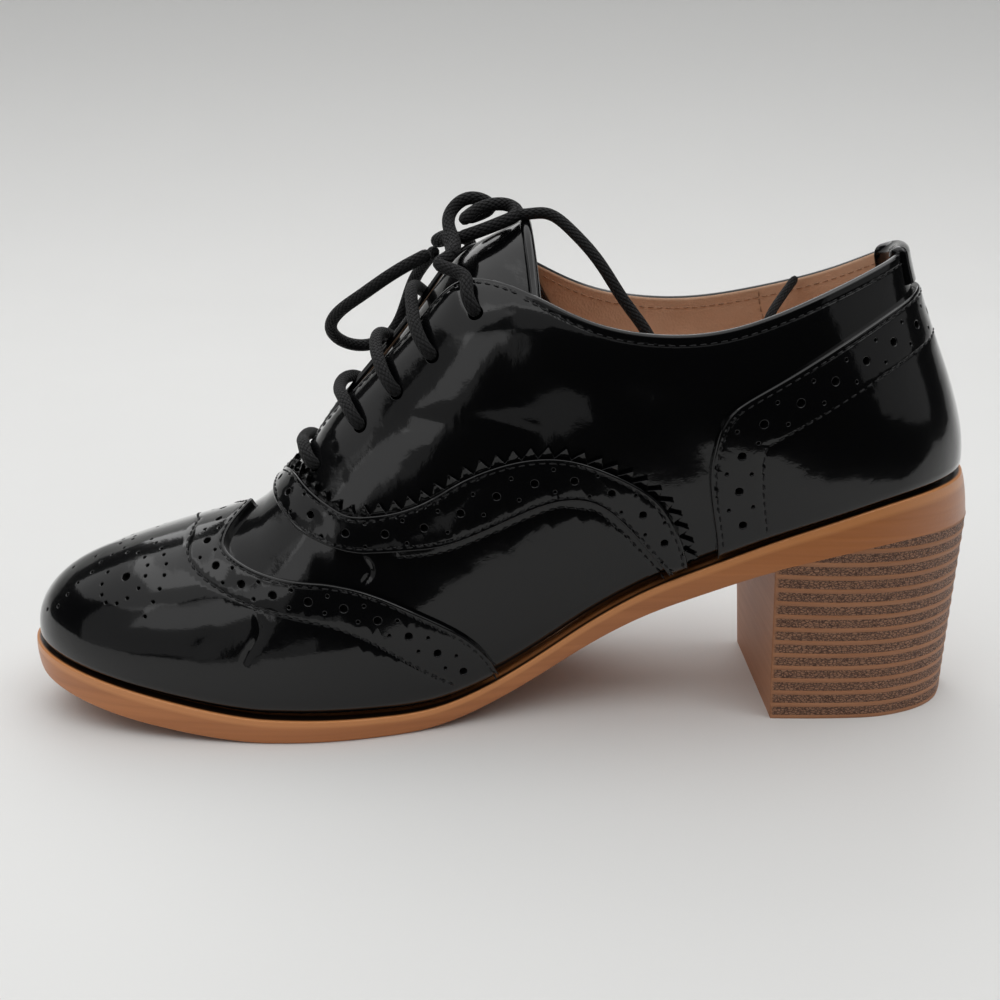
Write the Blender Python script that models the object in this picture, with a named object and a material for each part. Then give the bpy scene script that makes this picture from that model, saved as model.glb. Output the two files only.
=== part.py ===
"""Right heeled oxford shoe: wingtip upper on a stacked block heel, laced, standing empty."""
from typing import NamedTuple

import bpy
import bmesh
import numpy as np
from mathutils import Vector

# Named sizes, metres.
LENGTH = 0.2437
WIDTH = 0.0838
HEEL_HEIGHT = 0.0510
SOLE_THICKNESS = 0.0076
UPPER_DEPTH = 0.0775
WALL = 0.0020
LAYER_GAP = 0.0003
PANEL_GAP = 0.00055
OVERLAY = 0.0012
TONGUE_THICKNESS = 0.0016
INSOLE_THICKNESS = 0.0020
LACE = 0.0032
EYELET_BORE = 0.0036
CHAMFER = 0.0007
INSOLE_CLEARANCE = 0.0005
BAR_CLEARANCE = 0.0004
RISE_STOP = 0.0050

STRIP_INNER_GAP = 0.0004
TONGUE_CLEARANCE = 0.0009
LIFTS = 14
LIFT_RIDGE = 0.0004

# Places on the skin, as u or v.
VAMP_END = 0.362
THROAT_FADE = 0.030
RIDGE_END = 0.520
RIDGE_FADE = 0.100
TIP = 0.004
LAYER_FOOT = 0.020
STRIP_HALF = 0.026
STRIP_FOOT = 0.868
STRIP_INSIDE = 0.860
TONGUE_START = 0.400
TONGUE_RISING = 0.640
TONGUE_END = 0.705
TONGUE_SIDE = 0.740
HEEL_BREAST = 0.790

# Shares: how far the tongue's top arches over its span, the heel's middle line over WIDTH, a lift's
# proud ridge over its height, a lace bar's and a rise's places between eyelet and facing edge, and
# the seat cutter's ends over LENGTH with its height over HEEL_HEIGHT.
ARCH = 0.9
HEEL_AXIS = -0.060
LIFT_SHARE = 0.26
BAR_PLACES = (0.05, 0.35, 0.75, 1.0)
RISE_PLACES = (0.05, 0.4, 0.85)
CUTTER_ENDS = (0.20, 0.56)
CUTTER_HEIGHT = 1.6

# Mesh steps.
GIRTH_STEPS = 34
RISE_STEPS = 11
CAP_STEPS = 13
BAND_STEPS = 26
BAND_ACROSS = 4
COUNTER_RISE = 8
COUNTER_BACK = 14
STRIP_ACROSS = 9
STRIP_RISE = 4
TONGUE_ALONG = 13
TONGUE_EDGE = 5
TONGUE_ARCH = 7
SOLE_STEPS = 42
INSOLE_STEPS = 30
PLATE_ACROSS = 3
CUTTER_STEPS = 25
HEEL_STEPS = 10
BORE_SIDES = 10
LACE_SIDES = 2
BAR_SPACING = 1.2
CORD_SPACING = 1.5
END_CROWDING = 0.5
TIP_CROWDING = 1.4
BACK_CROWDING = 0.9
STEP = 0.001
WELD = 0.00001


class Station(NamedTuple):
    """One station around the last, from the toe tip (0) to the heel's back (1).

    Columns: place along the perimeter; x of the feather edge as a share of LENGTH; y of the feather
    edge, inner and outer side, as shares of WIDTH; the top edge the same way; height of the top edge
    above the sole as a share of UPPER_DEPTH and how much the outer side adds; lean of the wall at the
    sole and dip of the surface at the top, degrees; how far each tangent pulls, shares of UPPER_DEPTH
    and WIDTH; width of the sole's ledge and how far its lower edge draws in, shares of WIDTH.
    """

    at: float
    foot_x: float
    foot_in: float
    foot_out: float
    top_x: float
    top_in: float
    top_out: float
    rise: float
    rise_out: float
    lean: float
    foot_pull: float
    dip: float
    top_pull: float
    ledge: float
    draft: float


LAST = [Station(*row) for row in [
    (0.0, -0.4869, -0.144, -0.144, -0.4007, -0.126, -0.126, 0.290, 0.0, 12, 0.142, 0, 0.167, 0.038, 0.005),
    (0.05, -0.4684, -0.275, 0.017, -0.3740, -0.126, -0.126, 0.328, 0.0, 12, 0.155, 0, 0.203, 0.036, 0.005),
    (0.11, -0.4171, -0.376, 0.190, -0.3432, -0.120, -0.120, 0.390, 0.0, 10, 0.181, 0, 0.239, 0.033, 0.005),
    (0.19, -0.3432, -0.436, 0.334, -0.3002, -0.114, -0.114, 0.479, 0.0, 8, 0.219, 0, 0.263, 0.031, 0.006),
    (0.28, -0.2530, -0.466, 0.435, -0.2550, -0.114, -0.114, 0.593, 0.0, 6, 0.258, 0, 0.286, 0.031, 0.007),
    (0.36, -0.1709, -0.464, 0.471, -0.2119, -0.108, -0.108, 0.739, 0.0, 5, 0.310, 0, 0.310, 0.029, 0.010),
    (0.44, -0.0868, -0.418, 0.459, -0.1709, -0.126, -0.024, 0.920, 0.006, 6, 0.361, 6, 0.310, 0.024, 0.017),
    (0.52, -0.0047, -0.365, 0.405, -0.1176, -0.156, 0.011, 1.025, 0.026, 8, 0.413, 12, 0.310, 0.017, 0.024),
    (0.59, 0.0712, -0.339, 0.345, -0.0704, -0.174, 0.041, 1.041, 0.052, 10, 0.439, 22, 0.310, 0.014, 0.024),
    (0.625, 0.1081, -0.337, 0.322, -0.0458, -0.192, 0.059, 1.039, 0.065, 10, 0.426, 30, 0.31, 0.014, 0.024),
    (0.66, 0.1451, -0.339, 0.310, -0.0170, -0.227, 0.095, 0.996, 0.065, 10, 0.413, 40, 0.310, 0.014, 0.024),
    (0.7, 0.1861, -0.347, 0.292, 0.0261, -0.299, 0.166, 0.902, 0.045, 10, 0.387, 55, 0.286, 0.014, 0.024),
    (0.76, 0.2476, -0.359, 0.280, 0.0999, -0.376, 0.250, 0.725, 0.019, 10, 0.335, 72, 0.239, 0.016, 0.024),
    (0.82, 0.3133, -0.373, 0.268, 0.1902, -0.406, 0.280, 0.621, -0.006, 10, 0.258, 76, 0.239, 0.018, 0.012),
    (0.88, 0.3769, -0.359, 0.244, 0.2764, -0.371, 0.250, 0.623, -0.039, 8, 0.232, 76, 0.239, 0.021, -0.004),
    (0.94, 0.4384, -0.281, 0.161, 0.3584, -0.251, 0.131, 0.675, -0.039, 6, 0.206, 76, 0.239, 0.026, -0.018),
    (0.975, 0.4692, -0.174, 0.053, 0.3954, -0.156, 0.035, 0.708, -0.015, 5, 0.206, 76, 0.239, 0.029, -0.024),
    (1.0, 0.4795, -0.060, -0.060, 0.4056, -0.060, -0.060, 0.716, 0.0, 5, 0.206, 76, 0.239, 0.029, -0.026),
]]


class Profile(NamedTuple):
    """A height at a place along the shoe: x as a share of LENGTH, height as a share of its size."""

    x: float
    height: float


TOE_SPRING = 0.226
SPRING_START = -0.2366
SPRING_TIP = -0.5010
SOLE_UNDERSIDE = [
    Profile(-0.1299, 0.0),
    Profile(-0.1053, 0.0),
    Profile(-0.0560, 0.024),
    Profile(-0.0150, 0.090),
    Profile(0.0220, 0.180),
    Profile(0.0589, 0.290),
    Profile(0.0946, 0.404),
    Profile(0.1303, 0.506),
    Profile(0.1656, 0.592),
    Profile(0.2025, 0.667),
    Profile(0.2366, 0.733),
    Profile(0.2739, 0.804),
    Profile(0.3297, 0.892),
    Profile(0.3913, 0.965),
    Profile(0.4487, 0.996),
    Profile(0.5103, 1.000),
]
SOLE_DEPTH = [
    Profile(-0.5074, 1.000),
    Profile(-0.3884, 1.079),
    Profile(-0.2448, 0.895),
    Profile(-0.1011, 0.789),
    Profile(0.0425, 0.868),
    Profile(0.1656, 1.000),
    Profile(0.2723, 1.132),
    Profile(0.3913, 1.368),
    Profile(0.5103, 1.553),
]


def spline(knots: np.ndarray, values: np.ndarray, at: np.ndarray) -> np.ndarray:
    """Natural cubic spline through rows of values."""
    knots = np.asarray(knots, float)
    values = np.asarray(values, float)
    flat = values.ndim == 1
    if flat:
        values = values[:, None]
    count = len(knots)
    step = np.diff(knots)
    matrix = np.eye(count)
    right = np.zeros_like(values)
    for i in range(1, count - 1):
        matrix[i, i - 1] = step[i - 1]
        matrix[i, i] = 2 * (step[i - 1] + step[i])
        matrix[i, i + 1] = step[i]
        right[i] = 6 * ((values[i + 1] - values[i]) / step[i] - (values[i] - values[i - 1]) / step[i - 1])
    bend = np.linalg.solve(matrix, right)
    at = np.asarray(at, float)
    i = np.clip(np.searchsorted(knots, at) - 1, 0, count - 2)
    gap = step[i][:, None]
    left = (knots[i + 1] - at)[:, None]
    rest = (at - knots[i])[:, None]
    out = (bend[i] * left ** 3 + bend[i + 1] * rest ** 3) / (6 * gap)
    out = out + (values[i] / gap - bend[i] * gap / 6) * left
    out = out + (values[i + 1] / gap - bend[i + 1] * gap / 6) * rest
    return out[:, 0] if flat else out


def profile(rows: list, size: float, x: np.ndarray) -> np.ndarray:
    """Height of a profile table at x."""
    knots = [row.x * LENGTH for row in rows]
    heights = [row.height * size for row in rows]
    return spline(knots, heights, np.clip(x, knots[0], knots[-1]))


def sole_bottom(x: np.ndarray) -> np.ndarray:
    """Underside of the sole: toe spring, flat tread, shank and heel seat."""
    x = np.asarray(x, float)
    run = (SPRING_START * LENGTH - x) / ((SPRING_START - SPRING_TIP) * LENGTH)
    spring = TOE_SPRING * HEEL_HEIGHT * np.clip(run, 0, None) ** 1.5
    shank = np.maximum(profile(SOLE_UNDERSIDE, HEEL_HEIGHT, x), 0)
    return np.where(x < SOLE_UNDERSIDE[1].x * LENGTH, spring, shank)


def sole_top(x: np.ndarray) -> np.ndarray:
    """Upper face of the sole."""
    return sole_bottom(x) + profile(SOLE_DEPTH, SOLE_THICKNESS, np.asarray(x, float))


def side_rows(side: int) -> list:
    """The last's stations for the inner (-1) or outer (1) side, in metres."""
    out = []
    for s in LAST:
        foot_y = s.foot_in if side < 0 else s.foot_out
        top_y = s.top_in if side < 0 else s.top_out
        rise = s.rise + (s.rise_out if side > 0 else 0.0)
        out.append((side * s.at, s.foot_x * LENGTH, foot_y * WIDTH, s.top_x * LENGTH, top_y * WIDTH,
                    rise * UPPER_DEPTH, s.lean, s.foot_pull * UPPER_DEPTH, s.dip, s.top_pull * WIDTH,
                    s.ledge * WIDTH, s.draft * WIDTH))
    return out


def wrapped() -> np.ndarray:
    """Both sides joined into one table that runs on past the heel at each end."""
    rows = np.array(side_rows(-1)[::-1] + side_rows(1)[1:])
    before = rows[-7:-1].copy()
    before[:, 0] -= 2
    after = rows[1:7].copy()
    after[:, 0] += 2
    return np.vstack([before, rows, after])


TABLE = wrapped()


def columns(u: np.ndarray) -> np.ndarray:
    """Every column of the last at u, where u runs -1..1 around the shoe."""
    u = (np.asarray(u, float) + 1) % 2 - 1
    return spline(TABLE[:, 0], TABLE[:, 1:], u)


def plan_normal(u: np.ndarray) -> np.ndarray:
    """Outward direction of the feather edge, seen from above."""
    along = columns(u + STEP)[:, :2] - columns(u - STEP)[:, :2]
    along /= np.linalg.norm(along, axis=1)[:, None]
    return np.stack([along[:, 1] * -1, along[:, 0]], 1)


def joined_top(u: np.ndarray, table: np.ndarray) -> np.ndarray:
    """Top edge columns with both sides brought together along the vamp's ridge."""
    other = columns(-u)
    around = np.abs((u + 1) % 2 - 1)
    weight = np.clip((VAMP_END + THROAT_FADE - around) / THROAT_FADE, 0, 1)
    weight = weight * weight * (3 - 2 * weight)
    half = weight[:, None] / 2
    return table * (1 - half) + other * half


def skin(u: np.ndarray, v: np.ndarray) -> np.ndarray:
    """Outside of the upper: u around the shoe, v from the feather edge (0) to the top edge (1)."""
    u, v = np.broadcast_arrays(np.asarray(u, float), np.asarray(v, float))
    shape = u.shape
    u = u.ravel()
    v = v.ravel()[:, None]
    table = columns(u)
    foot_x, foot_y, _, _, _, lean, foot_pull, dip, top_pull, _, _ = table.T
    top_x, top_y, rise = joined_top(u, table)[:, 2:5].T
    out = plan_normal(u)
    floor = sole_top(foot_x) + LAYER_GAP
    foot = np.stack([foot_x, foot_y, floor], 1)
    top = np.stack([top_x, top_y, floor - LAYER_GAP + rise], 1)
    around = np.abs((u + 1) % 2 - 1)
    blend = np.clip((RIDGE_END - around) / RIDGE_FADE, 0, 1)
    blend = blend * blend * (3 - 2 * blend)
    near = np.maximum(around, TIP)
    ahead = columns(near + STEP)
    behind = columns(near - STEP)
    run = np.where(blend > 0, ahead[:, 2] - behind[:, 2], 1.0)
    climb = sole_top(ahead[:, 0]) + ahead[:, 4] - sole_top(behind[:, 0]) - behind[:, 4]
    slope = np.where(blend > 0, climb / run, 0.0)
    fall = -out[:, 0] * slope * blend
    lean = np.radians(lean)
    dip = np.radians(dip)
    up = np.stack([np.sin(lean) * out[:, 0], np.sin(lean) * out[:, 1], np.cos(lean)], 1)
    down = np.stack([np.cos(dip) * out[:, 0], np.cos(dip) * out[:, 1],
                     -(np.sin(dip) + np.cos(dip) * fall)], 1)
    down /= np.linalg.norm(down, axis=1)[:, None]
    low = foot + up * foot_pull[:, None]
    high = top + down * top_pull[:, None]
    rest = 1 - v
    point = foot * rest ** 3 + 3 * low * v * rest ** 2 + 3 * high * v ** 2 * rest + top * v ** 3
    return point.reshape(shape + (3,))


def skin_normal(u: np.ndarray, v: np.ndarray) -> np.ndarray:
    """Outward unit normal of the upper."""
    u, v = np.broadcast_arrays(np.asarray(u, float), np.asarray(v, float))
    level = np.minimum(v, 0.98)
    along = skin(u + STEP, level) - skin(u - STEP, level)
    rise = skin(u, v + STEP) - skin(u, v - STEP)
    normal = np.cross(rise, along)
    return normal / np.linalg.norm(normal, axis=-1, keepdims=True)


def layer(u: np.ndarray, v: np.ndarray, offset: float) -> np.ndarray:
    """Points at a distance outside (plus) or inside (minus) the upper's skin."""
    u, v = np.broadcast_arrays(np.asarray(u, float), np.asarray(v, float))
    normal = skin_normal(u, v)
    shared = normal + skin_normal(-u, v)
    shared /= np.linalg.norm(shared, axis=-1, keepdims=True)
    ridge = (v > 1 - STEP) & (np.abs(u) <= VAMP_END + STEP)
    return skin(u, v) + np.where(ridge[..., None], shared, normal) * offset


def outline(u: np.ndarray, offset: np.ndarray) -> np.ndarray:
    """Feather edge in plan, moved out by offset."""
    return columns(u)[:, :2] + plan_normal(u) * np.reshape(offset, (-1, 1))


class Finish(NamedTuple):
    """Plain colour, roughness and metallic value of one material."""

    colour: tuple
    roughness: float
    metallic: float


FINISHES = {
    "patent_black": Finish((0.010, 0.010, 0.012), 0.08, 0.0),
    "sole_tan": Finish((0.300, 0.115, 0.035), 0.45, 0.0),
    "heel_stack": Finish((0.210, 0.090, 0.045), 0.60, 0.0),
    "insole_tan": Finish((0.550, 0.330, 0.200), 0.50, 0.0),
    "lace_black": Finish((0.012, 0.012, 0.013), 0.85, 0.0),
}


class Edge(NamedTuple):
    """One point of a panel's edge on the skin."""

    u: float
    v: float


class BandStation(NamedTuple):
    """Lower and upper edge of the vamp band at one place between ridge and sole."""

    low_u: float
    low_v: float
    high_u: float
    high_v: float


CAP_EDGE = [
    Edge(0.526, 0.000),
    Edge(0.512, 0.100),
    Edge(0.476, 0.230),
    Edge(0.424, 0.335),
    Edge(0.348, 0.465),
    Edge(0.283, 0.620),
    Edge(0.251, 0.720),
    Edge(0.245, 0.800),
    Edge(0.254, 0.902),
    Edge(0.273, 1.000),
]
BAND = [
    BandStation(0.322, 1.000, 0.352, 1.000),
    BandStation(0.328, 0.860, 0.366, 0.870),
    BandStation(0.342, 0.720, 0.379, 0.740),
    BandStation(0.362, 0.590, 0.396, 0.640),
    BandStation(0.404, 0.470, 0.416, 0.572),
    BandStation(0.456, 0.432, 0.449, 0.545),
    BandStation(0.508, 0.398, 0.500, 0.532),
    BandStation(0.559, 0.367, 0.555, 0.512),
    BandStation(0.616, 0.330, 0.615, 0.458),
    BandStation(0.646, 0.280, 0.662, 0.402),
    BandStation(0.660, 0.200, 0.697, 0.300),
    BandStation(0.672, 0.110, 0.705, 0.170),
    BandStation(0.687, 0.020, 0.709, 0.020),
]
COUNTER_FRONT = [
    Edge(0.733, 0.020),
    Edge(0.736, 0.150),
    Edge(0.758, 0.340),
    Edge(0.776, 0.435),
    Edge(0.797, 0.550),
]
COUNTER_TOP = [
    Edge(0.797, 0.550),
    Edge(0.822, 0.665),
    Edge(0.860, 0.738),
    Edge(0.896, 0.780),
    Edge(0.945, 0.822),
    Edge(1.000, 0.840),
]
EYELETS = [
    Edge(0.388, 0.800),
    Edge(0.463, 0.805),
    Edge(0.521, 0.820),
    Edge(0.577, 0.820),
    Edge(0.645, 0.860),
]


def material(name: str) -> bpy.types.Material:
    """The named finish as a Principled material."""
    made = bpy.data.materials.get(name)
    if made:
        return made
    made = bpy.data.materials.new(name)
    made.use_nodes = True
    shader = made.node_tree.nodes["Principled BSDF"]
    finish = FINISHES[name]
    shader.inputs["Base Color"].default_value = (*finish.colour, 1.0)
    shader.inputs["Roughness"].default_value = finish.roughness
    shader.inputs["Metallic"].default_value = finish.metallic
    made.diffuse_color = (*finish.colour, 1.0)
    return made


def add_mesh(name: str, points: np.ndarray, faces: list, finish: str) -> bpy.types.Object:
    """A closed mesh object from points and faces, with coincident points welded."""
    work = bmesh.new()
    made = [work.verts.new(Vector(p)) for p in points]
    for face in faces:
        work.faces.new([made[i] for i in face])
    bmesh.ops.remove_doubles(work, verts=work.verts, dist=WELD)
    bmesh.ops.triangulate(work, faces=work.faces)
    bmesh.ops.recalc_face_normals(work, faces=work.faces)
    mesh = bpy.data.meshes.new(name)
    work.to_mesh(mesh)
    work.free()
    mesh.materials.append(material(finish))
    thing = bpy.data.objects.new(name, mesh)
    bpy.context.scene.collection.objects.link(thing)
    return thing


def grid_faces(rows: int, cols: int, start: int) -> list:
    """Quads of one grid whose points begin at start."""
    faces = []
    for i in range(rows - 1):
        for j in range(cols - 1):
            a = start + i * cols + j
            faces.append((a, a + 1, a + cols + 1, a + cols))
    return faces


def shell(name: str, outer: np.ndarray, inner: np.ndarray, rims: dict, finish: str):
    """A wall between two grids of points, closed by the rims asked for.

    rims holds, for "first", "last", "left" and "right", the spans of the grid's edge to close.
    """
    rows, cols = outer.shape[:2]
    size = rows * cols
    faces = grid_faces(rows, cols, 0)
    faces += [tuple(reversed(f)) for f in grid_faces(rows, cols, size)]
    edges = {
        "first": [(j, j + 1) for j in range(cols - 1)],
        "last": [((rows - 1) * cols + j, (rows - 1) * cols + j + 1) for j in range(cols - 1)],
        "left": [(i * cols, (i + 1) * cols) for i in range(rows - 1)],
        "right": [(i * cols + cols - 1, (i + 1) * cols + cols - 1) for i in range(rows - 1)],
    }
    for side, spans in rims.items():
        for k in spans:
            a, b = edges[side][k]
            faces.append((a, b, b + size, a + size))
    points = np.vstack([outer.reshape(-1, 3), inner.reshape(-1, 3)])
    return add_mesh(name, points, faces, finish)


def every(count: int) -> list:
    """All spans of an edge with count points."""
    return list(range(count - 1))


def upper() -> bpy.types.Object:
    """Hollow upper, open at collar, throat and underneath, with its eyelet bores."""
    even = np.linspace(0, 1, GIRTH_STEPS + 1)
    side = even - END_CROWDING * np.sin(2 * np.pi * even) / (2 * np.pi)
    side[np.argmin(np.abs(side - VAMP_END))] = VAMP_END
    u = np.concatenate([-side[::-1], side[1:]])
    v = np.linspace(0, 1, RISE_STEPS + 1)
    uu, vv = np.meshgrid(u, v)
    outer = layer(uu, vv, 0.0)
    inner = layer(uu, vv, -WALL)
    rims = {
        "first": every(len(u)),
        "last": [j for j in every(len(u)) if min(abs(u[j]), abs(u[j + 1])) >= VAMP_END - WELD],
    }
    body = shell("upper", outer, inner, rims, "patent_black")
    for side in (-1, 1):
        for number, hole in enumerate(EYELETS):
            cut_bore(body, side * hole.u, hole.v, f"bore_{side}_{number}")
    return body


def cut_bore(body: bpy.types.Object, u: float, v: float, name: str) -> None:
    """Cut one eyelet bore square through the wall."""
    centre = Vector(layer(np.array([u]), np.array([v]), -WALL / 2)[0])
    normal = Vector(skin_normal(np.array([u]), np.array([v]))[0])
    bpy.ops.mesh.primitive_cylinder_add(vertices=BORE_SIDES, radius=EYELET_BORE / 2, depth=WALL * 4,
                                        location=centre, rotation=normal.to_track_quat("Z", "Y").to_euler())
    cutter = bpy.context.object
    cutter.name = name
    cutter.hide_render = True
    cutter.display_type = "WIRE"
    cut = body.modifiers.new(name, "BOOLEAN")
    cut.operation = "DIFFERENCE"
    cut.solver = "EXACT"
    cut.object = cutter


def toe_cap() -> bpy.types.Object:
    """Winged cap over the toe, with a point on the ridge."""
    v = np.linspace(0, 1, RISE_STEPS + 1)
    v[0] = LAYER_FOOT
    edge = spline([e.v for e in CAP_EDGE], [e.u for e in CAP_EDGE], v)
    across = np.linspace(-1, 1, 2 * CAP_STEPS + 1)
    across = np.sign(across) * np.abs(across) ** TIP_CROWDING
    uu = edge[:, None] * across[None, :]
    vv = np.repeat(v[:, None], len(across), axis=1)
    return overlay("toe_cap", uu, vv, {"first": every(len(across)), "left": every(len(v)),
                                       "right": every(len(v))})


def overlay(name: str, uu: np.ndarray, vv: np.ndarray, rims: dict) -> bpy.types.Object:
    """A panel lying on the skin, one layer out."""
    outer = layer(uu, vv, PANEL_GAP + OVERLAY)
    inner = layer(uu, vv, PANEL_GAP)
    return shell(name, outer, inner, rims, "patent_black")


def band_points(along: np.ndarray, across: np.ndarray) -> tuple:
    """Places of the vamp band: along runs -1..1 over the ridge, across from lower to upper edge."""
    knots = np.linspace(0, 1, len(BAND))
    rows = spline(knots, np.array(BAND), np.abs(along))
    side = np.where(along < 0, -1.0, 1.0)
    uu = side * (rows[:, 0] + (rows[:, 2] - rows[:, 0]) * across[:, None])
    vv = rows[:, 1] + (rows[:, 3] - rows[:, 1]) * across[:, None]
    return uu, np.minimum(vv, 1)


def vamp_band() -> bpy.types.Object:
    """Band that crosses the vamp below the throat and swings down to the sole on both sides."""
    along = np.linspace(-1, 1, 2 * BAND_STEPS + 1)
    across = np.linspace(0, 1, BAND_ACROSS)
    uu, vv = band_points(along, across)
    return overlay("vamp_band", uu, vv, {"first": every(len(along)), "last": every(len(along)),
                                         "left": every(len(across)), "right": every(len(across))})


def heel_counter() -> bpy.types.Object:
    """Counter around the heel, from its front edge on one side to the other."""
    rise = np.linspace(0, 1, COUNTER_RISE)
    back = np.linspace(0, 1, COUNTER_BACK)
    front = spline(np.linspace(0, 1, len(COUNTER_FRONT)), np.array(COUNTER_FRONT), rise)
    top = spline(np.linspace(0, 1, len(COUNTER_TOP)), np.array(COUNTER_TOP), back)
    foot = np.stack([front[0, 0] + (1 - front[0, 0]) * back, np.full_like(back, LAYER_FOOT)], 1)
    rear = np.stack([np.ones_like(rise), LAYER_FOOT + (top[-1, 1] - LAYER_FOOT) * rise], 1)
    a = back[None, :, None]
    b = rise[:, None, None]
    patch = (1 - b) * foot[None] + b * top[None] + (1 - a) * front[:, None] + a * rear[:, None]
    patch = patch - ((1 - a) * (1 - b) * foot[0] + a * (1 - b) * foot[-1]
                     + (1 - a) * b * top[0] + a * b * top[-1])
    uu = np.hstack([patch[:, :, 0], 2 - patch[:, -2::-1, 0]])
    vv = np.hstack([patch[:, :, 1], patch[:, -2::-1, 1]])
    return overlay("heel_counter", uu, vv, {"first": every(uu.shape[1]), "last": every(uu.shape[1]),
                                            "left": every(len(rise)), "right": every(len(rise))})


def back_strip() -> bpy.types.Object:
    """Strip over the collar's back, folded down outside and inside."""
    across = np.linspace(1 - STRIP_HALF, 1 + STRIP_HALF, STRIP_ACROSS)
    rows = []
    for depth in (PANEL_GAP + OVERLAY, PANEL_GAP):
        outside = [layer(across, v, depth) for v in np.linspace(STRIP_FOOT, 1, STRIP_RISE)]
        inner = -WALL - depth - STRIP_INNER_GAP
        inside = [layer(across, v, inner) for v in np.linspace(1, STRIP_INSIDE, STRIP_RISE)]
        rise = skin(across, 1.0) - skin(across, 1 - STEP * 10)
        rise = rise / np.linalg.norm(rise, axis=1, keepdims=True)
        lift = rise * (depth + STRIP_INNER_GAP)
        shoulder = [outside[-1] + lift, inside[0] + lift]
        rows.append(np.array(outside[:-1] + shoulder + inside[1:]))
    outer, inner = rows
    rims = {"first": every(STRIP_ACROSS), "last": every(STRIP_ACROSS),
            "left": every(len(outer)), "right": every(len(outer))}
    return shell("back_strip", outer, inner, rims, "patent_black")


def tongue_grid() -> np.ndarray:
    """Outer face of the tongue: under the facings at the sides, arched over between them."""
    rows = []
    under = -WALL - TONGUE_CLEARANCE
    for u in np.linspace(TONGUE_START, TONGUE_END, TONGUE_ALONG):
        v = np.linspace(TONGUE_SIDE, 1, TONGUE_EDGE)
        near = layer(-u, v, under)
        far = layer(u, v, under)
        out_near = near[-1] - near[-2]
        out_far = far[-1] - far[-2]
        span = np.linalg.norm(far[-1] - near[-1])
        rising = np.clip((u - TONGUE_RISING) / (TONGUE_END - TONGUE_RISING), 0, 1)
        pull = span * (1.0 + ARCH * rising)
        out_near = out_near / np.linalg.norm(out_near) * pull
        out_far = out_far / np.linalg.norm(out_far) * pull
        t = np.linspace(0, 1, TONGUE_ARCH)[1:-1, None]
        arch = ((2 * t ** 3 - 3 * t ** 2 + 1) * near[-1] + (t ** 3 - 2 * t ** 2 + t) * out_near
                + (3 * t ** 2 - 2 * t ** 3) * far[-1] - (t ** 3 - t ** 2) * out_far)
        rows.append(np.vstack([near, arch, far[::-1]]))
    return np.array(rows)


def grid_normals(grid: np.ndarray) -> np.ndarray:
    """Unit normals of a grid of points."""
    down = np.gradient(grid, axis=0)
    along = np.gradient(grid, axis=1)
    normal = np.cross(down, along)
    return normal / np.linalg.norm(normal, axis=-1, keepdims=True)


def tongue() -> bpy.types.Object:
    """Tongue under the lacing, rising above the collar in front."""
    outer = tongue_grid()
    normal = grid_normals(outer)
    if normal[len(outer) // 2, outer.shape[1] // 2, 2] < 0:
        normal = -normal
    inner = outer - normal * TONGUE_THICKNESS
    rims = {"first": every(outer.shape[1]), "last": every(outer.shape[1]),
            "left": every(len(outer)), "right": every(len(outer))}
    return shell("tongue", outer, inner, rims, "patent_black")


def plate(name: str, rings: list, finish: str, steps: int) -> bpy.types.Object:
    """A sole-shaped slab: rings of (offset, height) from the top face's edge to the bottom's."""
    side = np.linspace(0, 1, steps + 1)
    t = np.linspace(0, 1, PLATE_ACROSS + 1)
    grids = []
    for offset, height in rings:
        inner = outline(-side, offset(-side))
        outer = outline(side, offset(side))
        plan = inner[:, None] * (1 - t[None, :, None]) + outer[:, None] * t[None, :, None]
        grids.append(np.dstack([plan, height(plan[:, :, 0])]))
    rows, cols = grids[0].shape[:2]
    points = np.vstack([g.reshape(-1, 3) for g in grids])
    size = rows * cols
    last = size * (len(grids) - 1)
    faces = grid_faces(rows, cols, 0) + [tuple(reversed(f)) for f in grid_faces(rows, cols, last)]
    for k in range(len(grids) - 1):
        top = k * size
        low = top + size
        for i in range(rows - 1):
            for j in (0, cols - 1):
                a = i * cols + j
                faces.append((top + a, top + a + cols, low + a + cols, low + a))
    return add_mesh(name, points, faces, finish)


def ledge(u: np.ndarray) -> np.ndarray:
    """Width of the sole outside the feather edge."""
    return columns(u)[:, 9]


def underside_ledge(u: np.ndarray) -> np.ndarray:
    """The same at the sole's lower edge."""
    table = columns(u)
    return table[:, 9] - table[:, 10]


def outsole() -> bpy.types.Object:
    """Outsole with its toe spring, arch and heel seat."""
    rings = [
        (lambda u: ledge(u) - CHAMFER, sole_top),
        (ledge, lambda x: sole_top(x) - CHAMFER),
        (underside_ledge, lambda x: sole_bottom(x) + CHAMFER),
        (lambda u: underside_ledge(u) - CHAMFER, sole_bottom),
    ]
    return plate("outsole", rings, "sole_tan", SOLE_STEPS)


def insole() -> bpy.types.Object:
    """Insole lying on the sole inside the upper."""
    inset = -(WALL + INSOLE_CLEARANCE)
    rings = [
        (lambda u: np.full_like(u, inset), lambda x: sole_top(x) + LAYER_GAP + INSOLE_THICKNESS),
        (lambda u: np.full_like(u, inset), lambda x: sole_top(x) + LAYER_GAP),
    ]
    return plate("insole", rings, "insole_tan", INSOLE_STEPS)


class HeelPoint(NamedTuple):
    """Heel outline on the floor: the station it stands under, x over LENGTH and y over WIDTH."""

    at: float
    x: float
    y: float


HEEL_FOOT = [
    HeelPoint(0.790, 0.2883, 0.276),
    HeelPoint(0.850, 0.3430, 0.277),
    HeelPoint(0.900, 0.3985, 0.266),
    HeelPoint(0.935, 0.4300, 0.238),
    HeelPoint(0.960, 0.4555, 0.198),
    HeelPoint(0.980, 0.4800, 0.126),
    HeelPoint(1.000, 0.4997, 0.0),
]


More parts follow.
